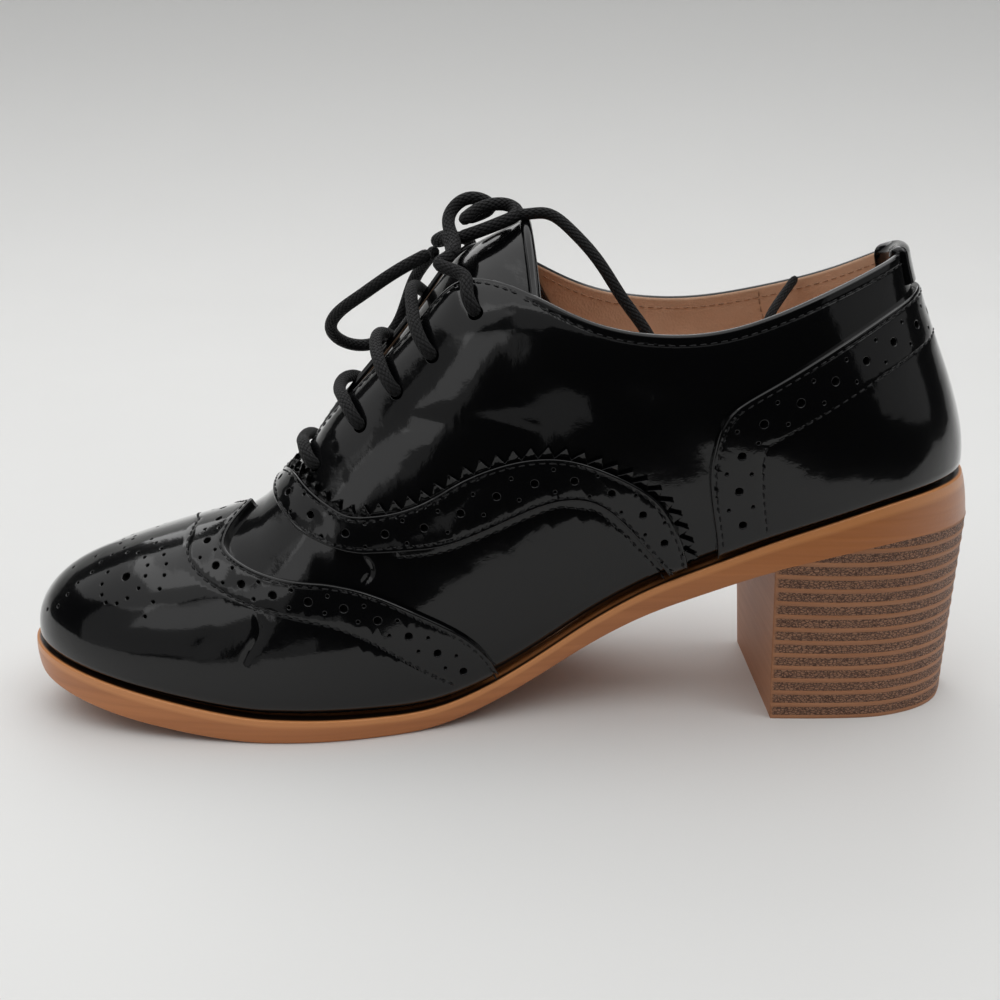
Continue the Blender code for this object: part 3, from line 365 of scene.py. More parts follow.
@dataclass
class Last:
    """The shoe's form: u runs -1..1 around it (0 at the toe), v from the sole (0) to the top edge (1)."""

    length: float = 0.2437
    width: float = 0.0838
    heel_height: float = 0.0510
    sole_thickness: float = 0.0076
    upper_depth: float = 0.0775
    gap: float = 0.0003
    wall: float = 0.0020
    vamp_end: float = 0.362
    throat_fade: float = 0.030
    ridge_end: float = 0.520
    ridge_fade: float = 0.100
    tip: float = 0.004
    spring: float = 0.226
    spring_start: float = -0.2366
    spring_tip: float = -0.5010

    def __post_init__(self) -> None:
        """Lays the stations around both sides and solves the splines."""
        rows = np.array(self.side(-1)[::-1] + self.side(1)[1:])
        before = rows[-7:-1].copy()
        before[:, 0] -= 2
        after = rows[1:7].copy()
        after[:, 0] += 2
        table = np.vstack([before, rows, after])
        self.around = Spline(table[:, 0], table[:, 1:])
        self.under = self.profile(SOLE_UNDERSIDE, self.heel_height)
        self.thick = self.profile(SOLE_DEPTH, self.sole_thickness)

    def side(self, side: int) -> list:
        """Stations of the inner (-1) or outer (1) side, in metres.

        Args:
            side: -1 or 1.

        Returns:
            Rows of the place around the shoe and its columns.
        """
        out = []
        for s in LAST:
            foot_y = s.foot_in if side < 0 else s.foot_out
            top_y = s.top_in if side < 0 else s.top_out
            rise = s.rise + (s.rise_out if side > 0 else 0.0)
            out.append((side * s.at, s.foot_x * self.length, foot_y * self.width, s.top_x * self.length,
                        top_y * self.width, rise * self.upper_depth, s.lean,
                        s.foot_pull * self.upper_depth, s.dip, s.top_pull * self.width,
                        s.ledge * self.width, s.draft * self.width))
        return out

    def profile(self, rows: list, size: float) -> Spline:
        """A height table along the shoe, as a spline."""
        return Spline([row.x * self.length for row in rows], [row.height * size for row in rows])

    def sole_bottom(self, x: np.ndarray) -> np.ndarray:
        """Underside of the sole."""
        x = np.asarray(x, float)
        run = (self.spring_start * self.length - x) / ((self.spring_start - self.spring_tip) * self.length)
        spring = self.spring * self.heel_height * np.clip(run, 0, None) ** 1.5
        shank = np.maximum(self.under(np.clip(x, self.under.knots[0], self.under.knots[-1])), 0)
        return np.where(x < SOLE_UNDERSIDE[1].x * self.length, spring, shank)

    def sole_top(self, x: np.ndarray) -> np.ndarray:
        """Upper face of the sole."""
        x = np.asarray(x, float)
        return self.sole_bottom(x) + self.thick(np.clip(x, self.thick.knots[0], self.thick.knots[-1]))

    def columns(self, u: np.ndarray) -> np.ndarray:
        """Every column of the stations at u."""
        return self.around((np.asarray(u, float) + 1) % 2 - 1)

    def plan_normal(self, u: np.ndarray) -> np.ndarray:
        """Outward direction of the feather edge, seen from above."""
        along = unit(self.columns(u + STEP)[..., :2] - self.columns(u - STEP)[..., :2])
        return np.stack([-along[..., 1], along[..., 0]], -1)

    def outline(self, u: np.ndarray, offset: np.ndarray) -> np.ndarray:
        """Feather edge in plan, moved out by offset."""
        return self.columns(u)[:, :2] + self.plan_normal(u) * np.reshape(offset, (-1, 1))

    def skin(self, u: np.ndarray, v: np.ndarray) -> np.ndarray:
        """Outside of the upper.

        Args:
            u: places around the shoe.
            v: places between sole and top edge.

        Returns:
            Points in metres.
        """
        u, v = np.broadcast_arrays(np.asarray(u, float), np.asarray(v, float))
        shape = u.shape
        u = u.ravel()
        v = v.ravel()[:, None]
        table = self.columns(u)
        around = np.abs((u + 1) % 2 - 1)
        foot_x, foot_y, _, _, _, lean, foot_pull, dip, top_pull, _, _ = table.T
        half = smooth((self.vamp_end + self.throat_fade - around) / self.throat_fade)[:, None] / 2
        joined = table * (1 - half) + self.columns(-u) * half
        top_x, top_y, rise = joined[:, 2:5].T
        out = self.plan_normal(u)
        floor = self.sole_top(foot_x) + self.gap
        foot = np.stack([foot_x, foot_y, floor], 1)
        top = np.stack([top_x, top_y, floor - self.gap + rise], 1)
        blend = smooth((self.ridge_end - around) / self.ridge_fade)
        near = np.maximum(around, self.tip)
        ahead = self.columns(near + STEP)
        behind = self.columns(near - STEP)
        run = np.where(blend > 0, ahead[:, 2] - behind[:, 2], 1.0)
        climb = self.sole_top(ahead[:, 0]) + ahead[:, 4] - self.sole_top(behind[:, 0]) - behind[:, 4]
        fall = -out[:, 0] * np.where(blend > 0, climb / run, 0.0) * blend
        lean = np.radians(lean)
        dip = np.radians(dip)
        up = np.stack([np.sin(lean) * out[:, 0], np.sin(lean) * out[:, 1], np.cos(lean)], 1)
        down = unit(np.stack([np.cos(dip) * out[:, 0], np.cos(dip) * out[:, 1],
                              -(np.sin(dip) + np.cos(dip) * fall)], 1))
        low = foot + up * foot_pull[:, None]
        high = top + down * top_pull[:, None]
        rest = 1 - v
        point = foot * rest ** 3 + 3 * low * v * rest ** 2 + 3 * high * v ** 2 * rest + top * v ** 3
        return point.reshape(shape + (3,))

    def normal(self, u: np.ndarray, v: np.ndarray) -> np.ndarray:
        """Outward unit normal of one side's skin."""
        level = np.minimum(v, 0.98)
        along = self.skin(u + STEP, level) - self.skin(u - STEP, level)
        rise = self.skin(u, v + STEP) - self.skin(u, v - STEP)
        return unit(np.cross(rise, along))

    def frame(self, u: np.ndarray, v: np.ndarray) -> Frame:
        """Points, tangents for each unit of u and v, and normals shared along the vamp's ridge.

        Args:
            u: places around the shoe.
            v: places between sole and top edge.

        Returns:
            The frame at each place.
        """
        u, v = np.broadcast_arrays(np.asarray(u, float), np.asarray(v, float))
        level = np.minimum(v, 0.98)
        along = (self.skin(u + STEP, level) - self.skin(u - STEP, level)) / (2 * STEP)
        rise = (self.skin(u, v + STEP) - self.skin(u, v - STEP)) / (2 * STEP)
        normal = unit(np.cross(rise, along))
        ridge = (v > 1 - STEP) & (np.abs(u) <= self.vamp_end + STEP)
        if ridge.any():
            shared = unit(normal[ridge] + self.normal(-u[ridge], v[ridge]))
            normal[ridge] = shared
        return Frame(self.skin(u, v), along, rise, normal)

    def layer(self, u: np.ndarray, v: np.ndarray, offset: float) -> np.ndarray:
        """Points at a distance outside or inside the skin."""
        frame = self.frame(u, v)
        return frame.point + frame.normal * offset

    def shift(self, places: np.ndarray, vectors: np.ndarray) -> np.ndarray:
        """Places moved over the skin by vectors in metres.

        Args:
            places: rows of u and v.
            vectors: how far each one moves, in space.

        Returns:
            The new rows of u and v.
        """
        frame = self.frame(*places.T)
        aa = np.sum(frame.along ** 2, 1)
        ab = np.sum(frame.along * frame.rise, 1)
        bb = np.sum(frame.rise ** 2, 1)
        pa = np.sum(vectors * frame.along, 1)
        pb = np.sum(vectors * frame.rise, 1)
        det = aa * bb - ab * ab
        return places + np.stack([(pa * bb - pb * ab) / det, (pb * aa - pa * ab) / det], 1)

    def walk(self, places: np.ndarray, step: float = SAMPLE) -> np.ndarray:
        """A path over the skin, sampled again at even steps.

        Args:
            places: rows of u and v.
            step: distance between samples, metres.

        Returns:
            Rows of u and v, with both ends kept.
        """
        run = distances(self.skin(*places.T))
        count = max(2, int(round(run[-1] / step)) + 1)
        return between(places, run, np.linspace(0, run[-1], count))

    def beside(self, places: np.ndarray, distance: float, goal: Optional[tuple] = None) -> np.ndarray:
        """A path over the skin, moved sideways.

        Args:
            places: rows of u and v.
            distance: how far, metres; minus is to the other side.
            goal: a place that plus moves towards, or None for the path's right-hand side.

        Returns:
            The moved rows.
        """
        frame = self.frame(*places.T)
        ahead = unit(np.gradient(frame.point, axis=0))
        across = np.cross(ahead, frame.normal)
        if goal is not None:
            spot = self.skin(*goal)
            middle = len(places) // 2
            across = across * np.sign(np.dot(spot - frame.point[middle], across[middle]))
        return self.shift(places, across * distance)

    def below_top(self, u: np.ndarray, depth: float) -> np.ndarray:
        """Places at a depth below the top edge."""
        rise = np.linalg.norm(self.frame(u, 0.97).rise, axis=1)
        return np.column_stack([u, 1 - depth / rise])


class Tone(NamedTuple):
    """A colour, linear."""

    red: float
    green: float
    blue: float

    def full(self) -> tuple:
        """The colour with its alpha."""
        return (self.red, self.green, self.blue, 1.0)

    def times(self, share: float) -> "Tone":
        """The colour, darker or lighter."""
        return Tone(*(share * part for part in self))


class Graph:
    """A material's nodes, added and linked by name."""

    def __init__(self, name: str) -> None:
        """Starts a material with an empty Principled shader."""
        self.material = bpy.data.materials.new(name)
        self.material.use_nodes = True
        self.nodes = self.material.node_tree.nodes
        self.links = self.material.node_tree.links
        self.shader = self.nodes["Principled BSDF"]

    def add(self, kind: str, **values: object) -> bpy.types.Node:
        """Adds a node and sets its named properties and sockets.

        Args:
            kind: the node's type without its prefix.
            **values: properties by name, or sockets by name with blanks as underscores.

        Returns:
            The node.
        """
        node = self.nodes.new("ShaderNode" + kind)
        for name, value in values.items():
            if hasattr(node, name):
                setattr(node, name, value)
            else:
                self.feed(node, name.replace("_", " "), value)
        return node

    def feed(self, node: bpy.types.Node, socket: object, value: object) -> None:
        """Sets a socket, or links it when the value is an output or a node.

        Args:
            node: the node.
            socket: the socket's name or number.
            value: a value, output or node.
        """
        target = node.inputs[socket]
        if isinstance(value, bpy.types.Node):
            value = value.outputs[0]
        if isinstance(value, bpy.types.NodeSocket):
            self.links.new(value, target)
        else:
            target.default_value = value

    def set(self, **values: object) -> None:
        """Sets or links sockets of the Principled shader."""
        for name, value in values.items():
            self.feed(self.shader, name.replace("_", " "), value)

    def math(self, operation: str, *values: object) -> bpy.types.Node:
        """A Math node on values or outputs."""
        node = self.add("Math", operation=operation)
        for number, value in enumerate(values):
            self.feed(node, number, value)
        return node

    def object_point(self, scale: tuple = (1, 1, 1)) -> bpy.types.Node:
        """Object coordinates, scaled on each axis."""
        place = self.add("TexCoord")
        mapping = self.add("Mapping", Scale=scale)
        self.links.new(place.outputs["Object"], mapping.inputs["Vector"])
        return mapping

    def noise(self, scale: float, detail: float = 2.0, stretch: tuple = (1, 1, 1)) -> bpy.types.NodeSocket:
        """Noise at a number of waves for each metre."""
        node = self.add("TexNoise", Vector=self.object_point(stretch), Scale=scale, Detail=detail)
        return node.outputs["Fac"]

    def ramp(self, source: object, low: float, high: float, dark: Tone, light: Tone) -> bpy.types.Node:
        """Two colours blended between two values.

        Args:
            source: the value read.
            low: where dark ends.
            high: where light starts.
            dark: first colour.
            light: second colour.

        Returns:
            The node.
        """
        node = self.add("ValToRGB", Fac=source)
        for stop, place, tone in zip(node.color_ramp.elements, (low, high), (dark, light)):
            stop.position = place
            stop.color = tone.full()
        return node

    def blend(self, share: object, first: object, second: object) -> bpy.types.NodeSocket:
        """Two colours mixed by a share."""
        node = self.add("Mix", data_type="RGBA")
        self.feed(node, 0, share)
        self.feed(node, 6, first)
        self.feed(node, 7, second)
        return node.outputs[2]

    def bump(self, *layers: tuple) -> None:
        """Stacks heights, each with its depth in metres, on the shader's normal.

        Args:
            *layers: pairs of a height output and a depth.
        """
        below = None
        for height, depth in layers:
            node = self.add("Bump", Height=height, Distance=depth)
            if below:
                self.links.new(below.outputs[0], node.inputs["Normal"])
            below = node
        self.links.new(below.outputs[0], self.shader.inputs["Normal"])
        self.links.new(below.outputs[0], self.shader.inputs["Coat Normal"])


@dataclass(frozen=True)
class Patent:
    """Black patent leather: a wet gloss over slow ripples."""

    name: str = "patent_black"
    colour: Tone = Tone(0.0016, 0.0017, 0.0020)
    roughness: float = 0.20
    coat: float = 1.0
    coat_roughness: float = 0.025
    coat_ior: float = 1.38
    ripple: float = 0.00070
    grain: float = 0.000008

    def make(self) -> bpy.types.Material:
        """Builds the material."""
        graph = Graph(self.name)
        uneven = graph.math("MULTIPLY_ADD", graph.noise(900.0, 3.0), 0.06, self.roughness - 0.03)
        graph.set(Base_Color=self.colour.full(), Coat_Weight=self.coat, Coat_Roughness=self.coat_roughness,
                  Coat_IOR=self.coat_ior, Specular_IOR_Level=0.09, Roughness=uneven)
        graph.bump((graph.noise(34.0, 0.8), self.ripple), (graph.noise(120.0, 0.5), self.ripple * 0.22),
                   (graph.noise(420.0, 1.0), self.ripple * 0.03), (graph.noise(2400.0, 2.0), self.grain))
        return graph.material


@dataclass(frozen=True)
class Lining:
    """Tan lining leather with a fine grain and slight soiling."""

    name: str = "lining_tan"
    dark: Tone = Tone(0.62, 0.385, 0.245)
    light: Tone = Tone(0.78, 0.520, 0.360)
    roughness: float = 0.52

    def make(self) -> bpy.types.Material:
        """Builds the material."""
        graph = Graph(self.name)
        cloud = graph.noise(60.0, 5.0)
        graph.set(Base_Color=graph.ramp(cloud, 0.30, 0.72, self.dark, self.light), Roughness=self.roughness,
                  Sheen_Weight=0.15, Specular_IOR_Level=0.35)
        pores = graph.add("TexVoronoi", Vector=graph.object_point(), Scale=1500.0)
        graph.bump((pores.outputs["Distance"], 0.00006), (graph.noise(260.0, 3.0), 0.00018))
        return graph.material


@dataclass(frozen=True)
class SoleEdge:
    """Smooth tan sole with faint streaks along it, a painted highlight on its upward-facing top rim and
    painted shade on the ledge beside the upper.
    """

    name: str = "sole_tan"
    dark: Tone = Tone(0.410, 0.142, 0.042)
    light: Tone = Tone(0.520, 0.192, 0.060)
    # Painted highlight: lighter colour on the sole's upward-facing top and upper edge, where the light falls
    # on it.
    rim: Tone = Tone(0.640, 0.262, 0.088)
    # Painted shade: near-black colour laid on the sole's ledge beside the upper, where the recess is in
    # shade.
    ledge_shade: Tone = Tone(0.010, 0.005, 0.003)

    def make(self) -> bpy.types.Material:
        """Builds the material."""
        graph = Graph(self.name)
        streaks = graph.noise(14.0, 3.0, (1, 1, 30))
        side = graph.ramp(streaks, 0.30, 0.72, self.dark, self.light)
        # Mask of the painted highlight on the top rim.
        rim = graph.add("Attribute", attribute_name="rim")
        # Mask of the painted shade on the ledge beside the upper.
        ledge_shade = graph.add("Attribute", attribute_name="ledge_shade")
        leather = graph.blend(rim.outputs["Fac"], side, self.rim.full())
        graph.set(Base_Color=graph.blend(ledge_shade.outputs["Fac"], leather, self.ledge_shade.full()), Roughness=0.34,
                  Specular_IOR_Level=0.45, Coat_Weight=0.15, Coat_Roughness=0.25)
        graph.bump((streaks, 0.00012), (graph.noise(1300.0, 3.0), 0.00003))
        return graph.material


@dataclass(frozen=True)
class Stack:
    """Moulded heel: worm-grained bands between smooth lighter ridges."""

    name: str = "heel_stack"
    dark: Tone = Tone(0.078, 0.031, 0.017)
    light: Tone = Tone(0.370, 0.190, 0.110)
    valley: Tone = Tone(0.360, 0.155, 0.072)
    ridge: Tone = Tone(0.430, 0.200, 0.100)
    worms: float = 1350.0
    warp: float = 0.0009
    squash: tuple = (0.75, 0.75, 1.35)

    def make(self) -> bpy.types.Material:
        """Builds the material."""
        graph = Graph(self.name)
        warp = graph.add("TexNoise", Vector=graph.object_point(), Scale=900.0, Detail=1.0)
        lift = graph.add("VectorMath", operation="SCALE", Scale=self.warp)
        graph.feed(lift, 0, warp.outputs["Color"])
        moved = graph.add("VectorMath", operation="ADD")
        graph.feed(moved, 0, graph.object_point())
        graph.feed(moved, 1, lift)
        drawn = graph.add("Mapping", Vector=moved, Scale=self.squash)
        worms = graph.add("TexVoronoi", Vector=drawn, feature="DISTANCE_TO_EDGE", Scale=self.worms)
        relief = graph.math("MINIMUM", graph.math("MULTIPLY", worms.outputs["Distance"], 4.5), 1.0)
        grained = graph.ramp(relief, 0.12, 0.80, self.dark, self.light)
        plain = graph.ramp(graph.noise(40.0, 5.0, (1, 1, 20)), 0.3, 0.75, self.valley, self.ridge)
        band = graph.add("Attribute", attribute_name="band").outputs["Fac"]
        graph.set(Base_Color=graph.blend(band, plain, grained), Roughness=0.5, Specular_IOR_Level=0.4)
        graph.bump((graph.math("MULTIPLY", relief, band), 0.00022), (graph.noise(900.0, 2.0), 0.00003))
        return graph.material


@dataclass(frozen=True)
class Braid:
    """Round braided black cotton: yarns crossing over and under around the lace."""

    name: str = "lace_black"
    # Colours in the gaps between yarns and on their crowns; the difference between them is painted shade.
    dark: Tone = Tone(0.0008, 0.0008, 0.0010)
    light: Tone = Tone(0.0062, 0.0062, 0.0070)
    yarns: float = 9.0
    pitch: float = 0.0016

    def make(self) -> bpy.types.Material:
        """Builds the material; the map's x is the turn around the lace and y the metres along it."""
        graph = Graph(self.name)
        split = graph.add("SeparateXYZ", Vector=graph.add("UVMap"))
        around = graph.math("MULTIPLY", split.outputs[0], self.yarns)
        along = graph.math("DIVIDE", split.outputs[1], self.pitch)
        right = graph.math("ADD", around, along)
        left = graph.math("SUBTRACT", around, along)
        check = graph.math("ADD", graph.math("FLOOR", right), graph.math("FLOOR", left))
        over = graph.math("MULTIPLY", graph.math("FRACT", graph.math("MULTIPLY", check, 0.5)), 2.0)
        first = self.crown(graph, right)
        second = self.crown(graph, left)
        both = graph.math("MULTIPLY", first, second)
        yarn = graph.math("ADD", graph.math("MULTIPLY", first, over),
                          graph.math("MULTIPLY", second, graph.math("SUBTRACT", 1.0, over)))
        height = graph.math("ADD", graph.math("MULTIPLY", both, 0.6), graph.math("MULTIPLY", yarn, 0.4))
        # Painted shade: the colour follows the yarns' height, darker between them and lighter on their
        # crowns.
        graph.set(Base_Color=graph.ramp(height, 0.1, 0.95, self.dark, self.light), Roughness=0.75,
                  Sheen_Weight=0.05, Sheen_Roughness=0.4, Specular_IOR_Level=0.30)
        graph.bump((height, 0.00035), (graph.noise(4000.0, 2.0), 0.00006))
        return graph.material

    def crown(self, graph: Graph, value: bpy.types.Node) -> bpy.types.Node:
        """Rounded height across one yarn."""
        share = graph.math("MULTIPLY", graph.math("FRACT", value), 3.14159)
        return graph.math("POWER", graph.math("SINE", share), 0.6)


@dataclass(frozen=True)
class Thread:
    """Waxed sewing thread."""

    name: str
    colour: Tone
    roughness: float = 0.50

    def make(self) -> bpy.types.Material:
        """Builds the material."""
        graph = Graph(self.name)
        cloud = graph.noise(1400.0, 2.0)
        graph.set(Base_Color=graph.ramp(cloud, 0.3, 0.7, self.colour.times(0.55), self.colour),
                  Roughness=self.roughness, Specular_IOR_Level=0.3)
        graph.bump((graph.noise(3600.0, 1.0), 0.00005))
        return graph.material


@dataclass(frozen=True)
class Backing:
    """Dull black backing seen at the bottom of each punched hole."""

    name: str = "hole_backing"
    dark: Tone = Tone(0.002, 0.002, 0.002)
    light: Tone = Tone(0.006, 0.006, 0.006)

    def make(self) -> bpy.types.Material:
        """Builds the material."""
        graph = Graph(self.name)
        graph.set(Base_Color=graph.ramp(graph.noise(1500.0), 0.3, 0.7, self.dark, self.light), Roughness=0.8,
                  Specular_IOR_Level=0.2)
        graph.bump((graph.noise(2500.0), 0.00005))
        return graph.material


@dataclass(frozen=True)
class Sweep:
    """Pale seamless paper under and behind the shoe, with painted shade darkening it towards the top."""

    name: str = "paper_sweep"
    colour: Tone = Tone(0.735, 0.735, 0.725)
    # Painted shade: the paper's colour falls to this share at the top, between these heights in metres.
    upper: float = 0.78
    fade: tuple = (0.01, 0.24)

    def make(self) -> bpy.types.Material:
        """Builds the material."""
        graph = Graph(self.name)
        paper = graph.ramp(graph.noise(9.0, 2.0), 0.3, 0.7, self.colour.times(0.985), self.colour)
        # Painted shade that darkens the paper with height.
        height = graph.add("SeparateXYZ", Vector=graph.object_point()).outputs["Z"]
        start, end = self.fade
        share = graph.math("DIVIDE", graph.math("SUBTRACT", height, start), end - start)
        share.use_clamp = True
        dim = self.colour.times(self.upper)
        graph.set(Base_Color=graph.blend(share, paper, dim.full()), Roughness=0.75, Specular_IOR_Level=0.25)
        graph.bump((graph.noise(1200.0, 3.0), 0.00002))
        return graph.material


@dataclass
class Looks:
    """The materials, made once."""

    patent: bpy.types.Material
    lining: bpy.types.Material
    sole: bpy.types.Material
    stack: bpy.types.Material
    lace: bpy.types.Material
    thread: bpy.types.Material
    lining_thread: bpy.types.Material
    backing: bpy.types.Material

    @classmethod
    def make(cls) -> "Looks":
        """Builds every finish."""
        return cls(Patent().make(), Lining().make(), SoleEdge().make(), Stack().make(), Braid().make(),
                   Thread("thread_black", Tone(0.0055, 0.0055, 0.0065)).make(),
                   Thread("thread_tan", Tone(0.50, 0.29, 0.18)).make(), Backing().make())


@dataclass
class Soup:
    """Points, faces, normals and materials gathered for one mesh."""

    points: list = field(default_factory=list)
    normals: list = field(default_factory=list)
    faces: list = field(default_factory=list)
    slots: list = field(default_factory=list)
    count: int = 0

    def add(self, points: np.ndarray, normals: np.ndarray) -> np.ndarray:
        """Adds points with their normals and gives their numbers."""
        points = np.asarray(points, float).reshape(-1, 3)
        self.points.append(points)
        self.normals.append(np.asarray(normals, float).reshape(-1, 3))
        first = self.count
        self.count += len(points)
        return np.arange(first, self.count)

    def face(self, corners: tuple, slot: int = 0) -> None:
        """Adds one face."""
        self.faces.append(tuple(int(c) for c in corners))
        self.slots.append(slot)

    def strip(self, low: np.ndarray, high: np.ndarray, closed: bool = False, slot: int = 0,
              spans: Optional[np.ndarray] = None) -> None:
        """Quads between two rows of point numbers, all of them or only the spans asked for.

        Args:
            low: first row.
            high: second row.
            closed: whether the rows are loops.
            slot: the faces' material.
            spans: which spans get a face.
        """
        count = len(low) if closed else len(low) - 1
        for i in range(count):
            if spans is None or spans[i]:
                j = (i + 1) % len(low)
                self.face((low[i], low[j], high[j], high[i]), slot)

    def grid(self, rows: np.ndarray, normals: np.ndarray, slot: int = 0, closed: bool = False) -> np.ndarray:
        """A grid of points joined by quads, and its point numbers."""
        numbers = self.add(rows, normals).reshape(rows.shape[:2])
        for low, high in zip(numbers[:-1], numbers[1:]):
            self.strip(low, high, closed, slot)
        return numbers

    def build(self, name: str, materials: list, attributes: Optional[dict] = None) -> bpy.types.Object:
        """Makes the mesh object with its own normals.

        Args:
            name: the object's name.
            materials: one for each slot.
            attributes: numbers for each point, by name.

        Returns:
            The object, linked to the scene.
        """
        points = np.vstack(self.points)
        normals = unit(np.vstack(self.normals))
        ends = np.array([(f[0], f[1], f[2], f[-1]) for f in self.faces])
        corners = points[ends]
        turn = np.cross(corners[:, 1] - corners[:, 0], corners[:, 2] - corners[:, 0])
        turn += np.cross(corners[:, 2] - corners[:, 0], corners[:, 3] - corners[:, 0])
        wrong = np.sum(turn * normals[ends].mean(1), axis=1) < 0
        faces = [face[::-1] if flip else face for face, flip in zip(self.faces, wrong)]
        mesh = bpy.data.meshes.new(name)
        mesh.from_pydata(points.tolist(), [], faces)
        for made in materials:
            mesh.materials.append(made)
        mesh.polygons.foreach_set("material_index", self.slots)
        mesh.polygons.foreach_set("use_smooth", [True] * len(faces))
        for key, values in (attributes or {}).items():
            layer = mesh.attributes.new(key, "FLOAT", "POINT")
            layer.data.foreach_set("value", np.asarray(values, float))
        mesh.normals_split_custom_set_from_vertices(normals.tolist())
        thing = bpy.data.objects.new(name, mesh)
        bpy.context.scene.collection.objects.link(thing)
        return thing


def adopt(thing: bpy.types.Object, slot: str, *nodes: str) -> bpy.types.Object:
    """Hands a piece to the frame: its body and the nodes it stands for, which are hidden.

    Args:
        thing: the piece.
        slot: not used.
        *nodes: the solids it stands for.

    Returns:
        The piece.
    """
    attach(thing, BODY)
    if nodes:
        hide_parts(*nodes)
    LOG.info("%s: %d faces", thing.name, len(thing.data.polygons))
    return thing


@dataclass
class Relief:
    """A soft trough (depth plus) or ridge (minus) along a line on the skin."""

    line: np.ndarray
    depth: float
    width: float
    fade: float = 0.0
    places: Optional[np.ndarray] = None

    def __post_init__(self) -> None:
        """Indexes the line's points."""
        run = distances(self.line)
        ends = np.minimum(run, run[-1] - run)
        self.strength = smooth(ends / self.fade) if self.fade else np.ones(len(run))
        self.tree = KDTree(len(self.line))
        for number, point in enumerate(self.line):
            self.tree.insert(point, number)
        self.tree.balance()

    def apply(self, points: np.ndarray) -> tuple:
        """Height and its slope at points of the skin.

        Args:
            points: rows of points, metres.

        Returns:
            Heights and the slope of each, as vectors.
        """
        height = np.zeros(len(points))
        slope = np.zeros_like(points)
        reach = 3 * self.width
        low = self.line.min(0) - reach
        high = self.line.max(0) + reach
        for i in np.flatnonzero(((points > low) & (points < high)).all(1)):
            point = points[i]
            near, number, distance = self.tree.find(point)
            if distance < reach:
                away = point - np.array(near)
                level = self.depth * self.strength[number] * np.exp(-(distance / self.width) ** 2)
                height[i] = -level
                slope[i] = 2 * level * away / self.width ** 2
        return height, slope


class EdgeKind(Enum):
    """How one side of a panel ends."""

    FOLDED = "folded over and pressed down"
    PINKED = "cut to points"
    PLAIN = "tucked under a neighbour or joined"
    RIM = "turned over to the lining"


class Run(NamedTuple):
    """One side of a panel's outline: rows of u and v, and how it ends."""

    places: np.ndarray
    kind: EdgeKind


class Punch(NamedTuple):
    """A hole punched in a panel: its place, radius, depth and number of sides."""

    u: float
    v: float
    radius: float
    depth: float
    sides: int


@dataclass
class Seam:
    """A row of stitches on a panel."""

    line: np.ndarray
    pitch: float = 0.0024
    stitch: float = 0.00165
    radius: float = 0.00023
    groove: float = 0.00014


def inside(places: np.ndarray, loop: np.ndarray) -> np.ndarray:
    """Which flat points lie inside a closed loop.

    Args:
        places: rows of x and y.
        loop: the loop's corners in order.

    Returns:
        True for each point inside.
    """
    x = places[:, :1]
    y = places[:, 1:]
    ax, ay = loop.T
    bx, by = np.roll(loop, -1, axis=0).T
    crosses = (ay > y) != (by > y)
    rise = np.where(by == ay, 1e-12, by - ay)
    hits = crosses & (x < (bx - ax) * (y - ay) / rise + ax)
    return hits.sum(1) % 2 == 1


# Rows of points across a crease, in widths.
CREASE_STEPS = (-1.9, -1.3, -0.8, -0.4, 0.0, 0.4, 0.8, 1.3, 1.9)


def crease(last: Last, knots: list, depth: float, width: float) -> Relief:
    """A crease along a smooth line through a few places of the skin."""
    places = curve(knots, 90)
    return Relief(last.skin(*places.T), depth, width, 0.004, places)


class Cut(NamedTuple):
    """A panel's triangle size, step along its edge and radius of its folded edge, metres."""

    spacing: float
    edge_step: float
    fold: float


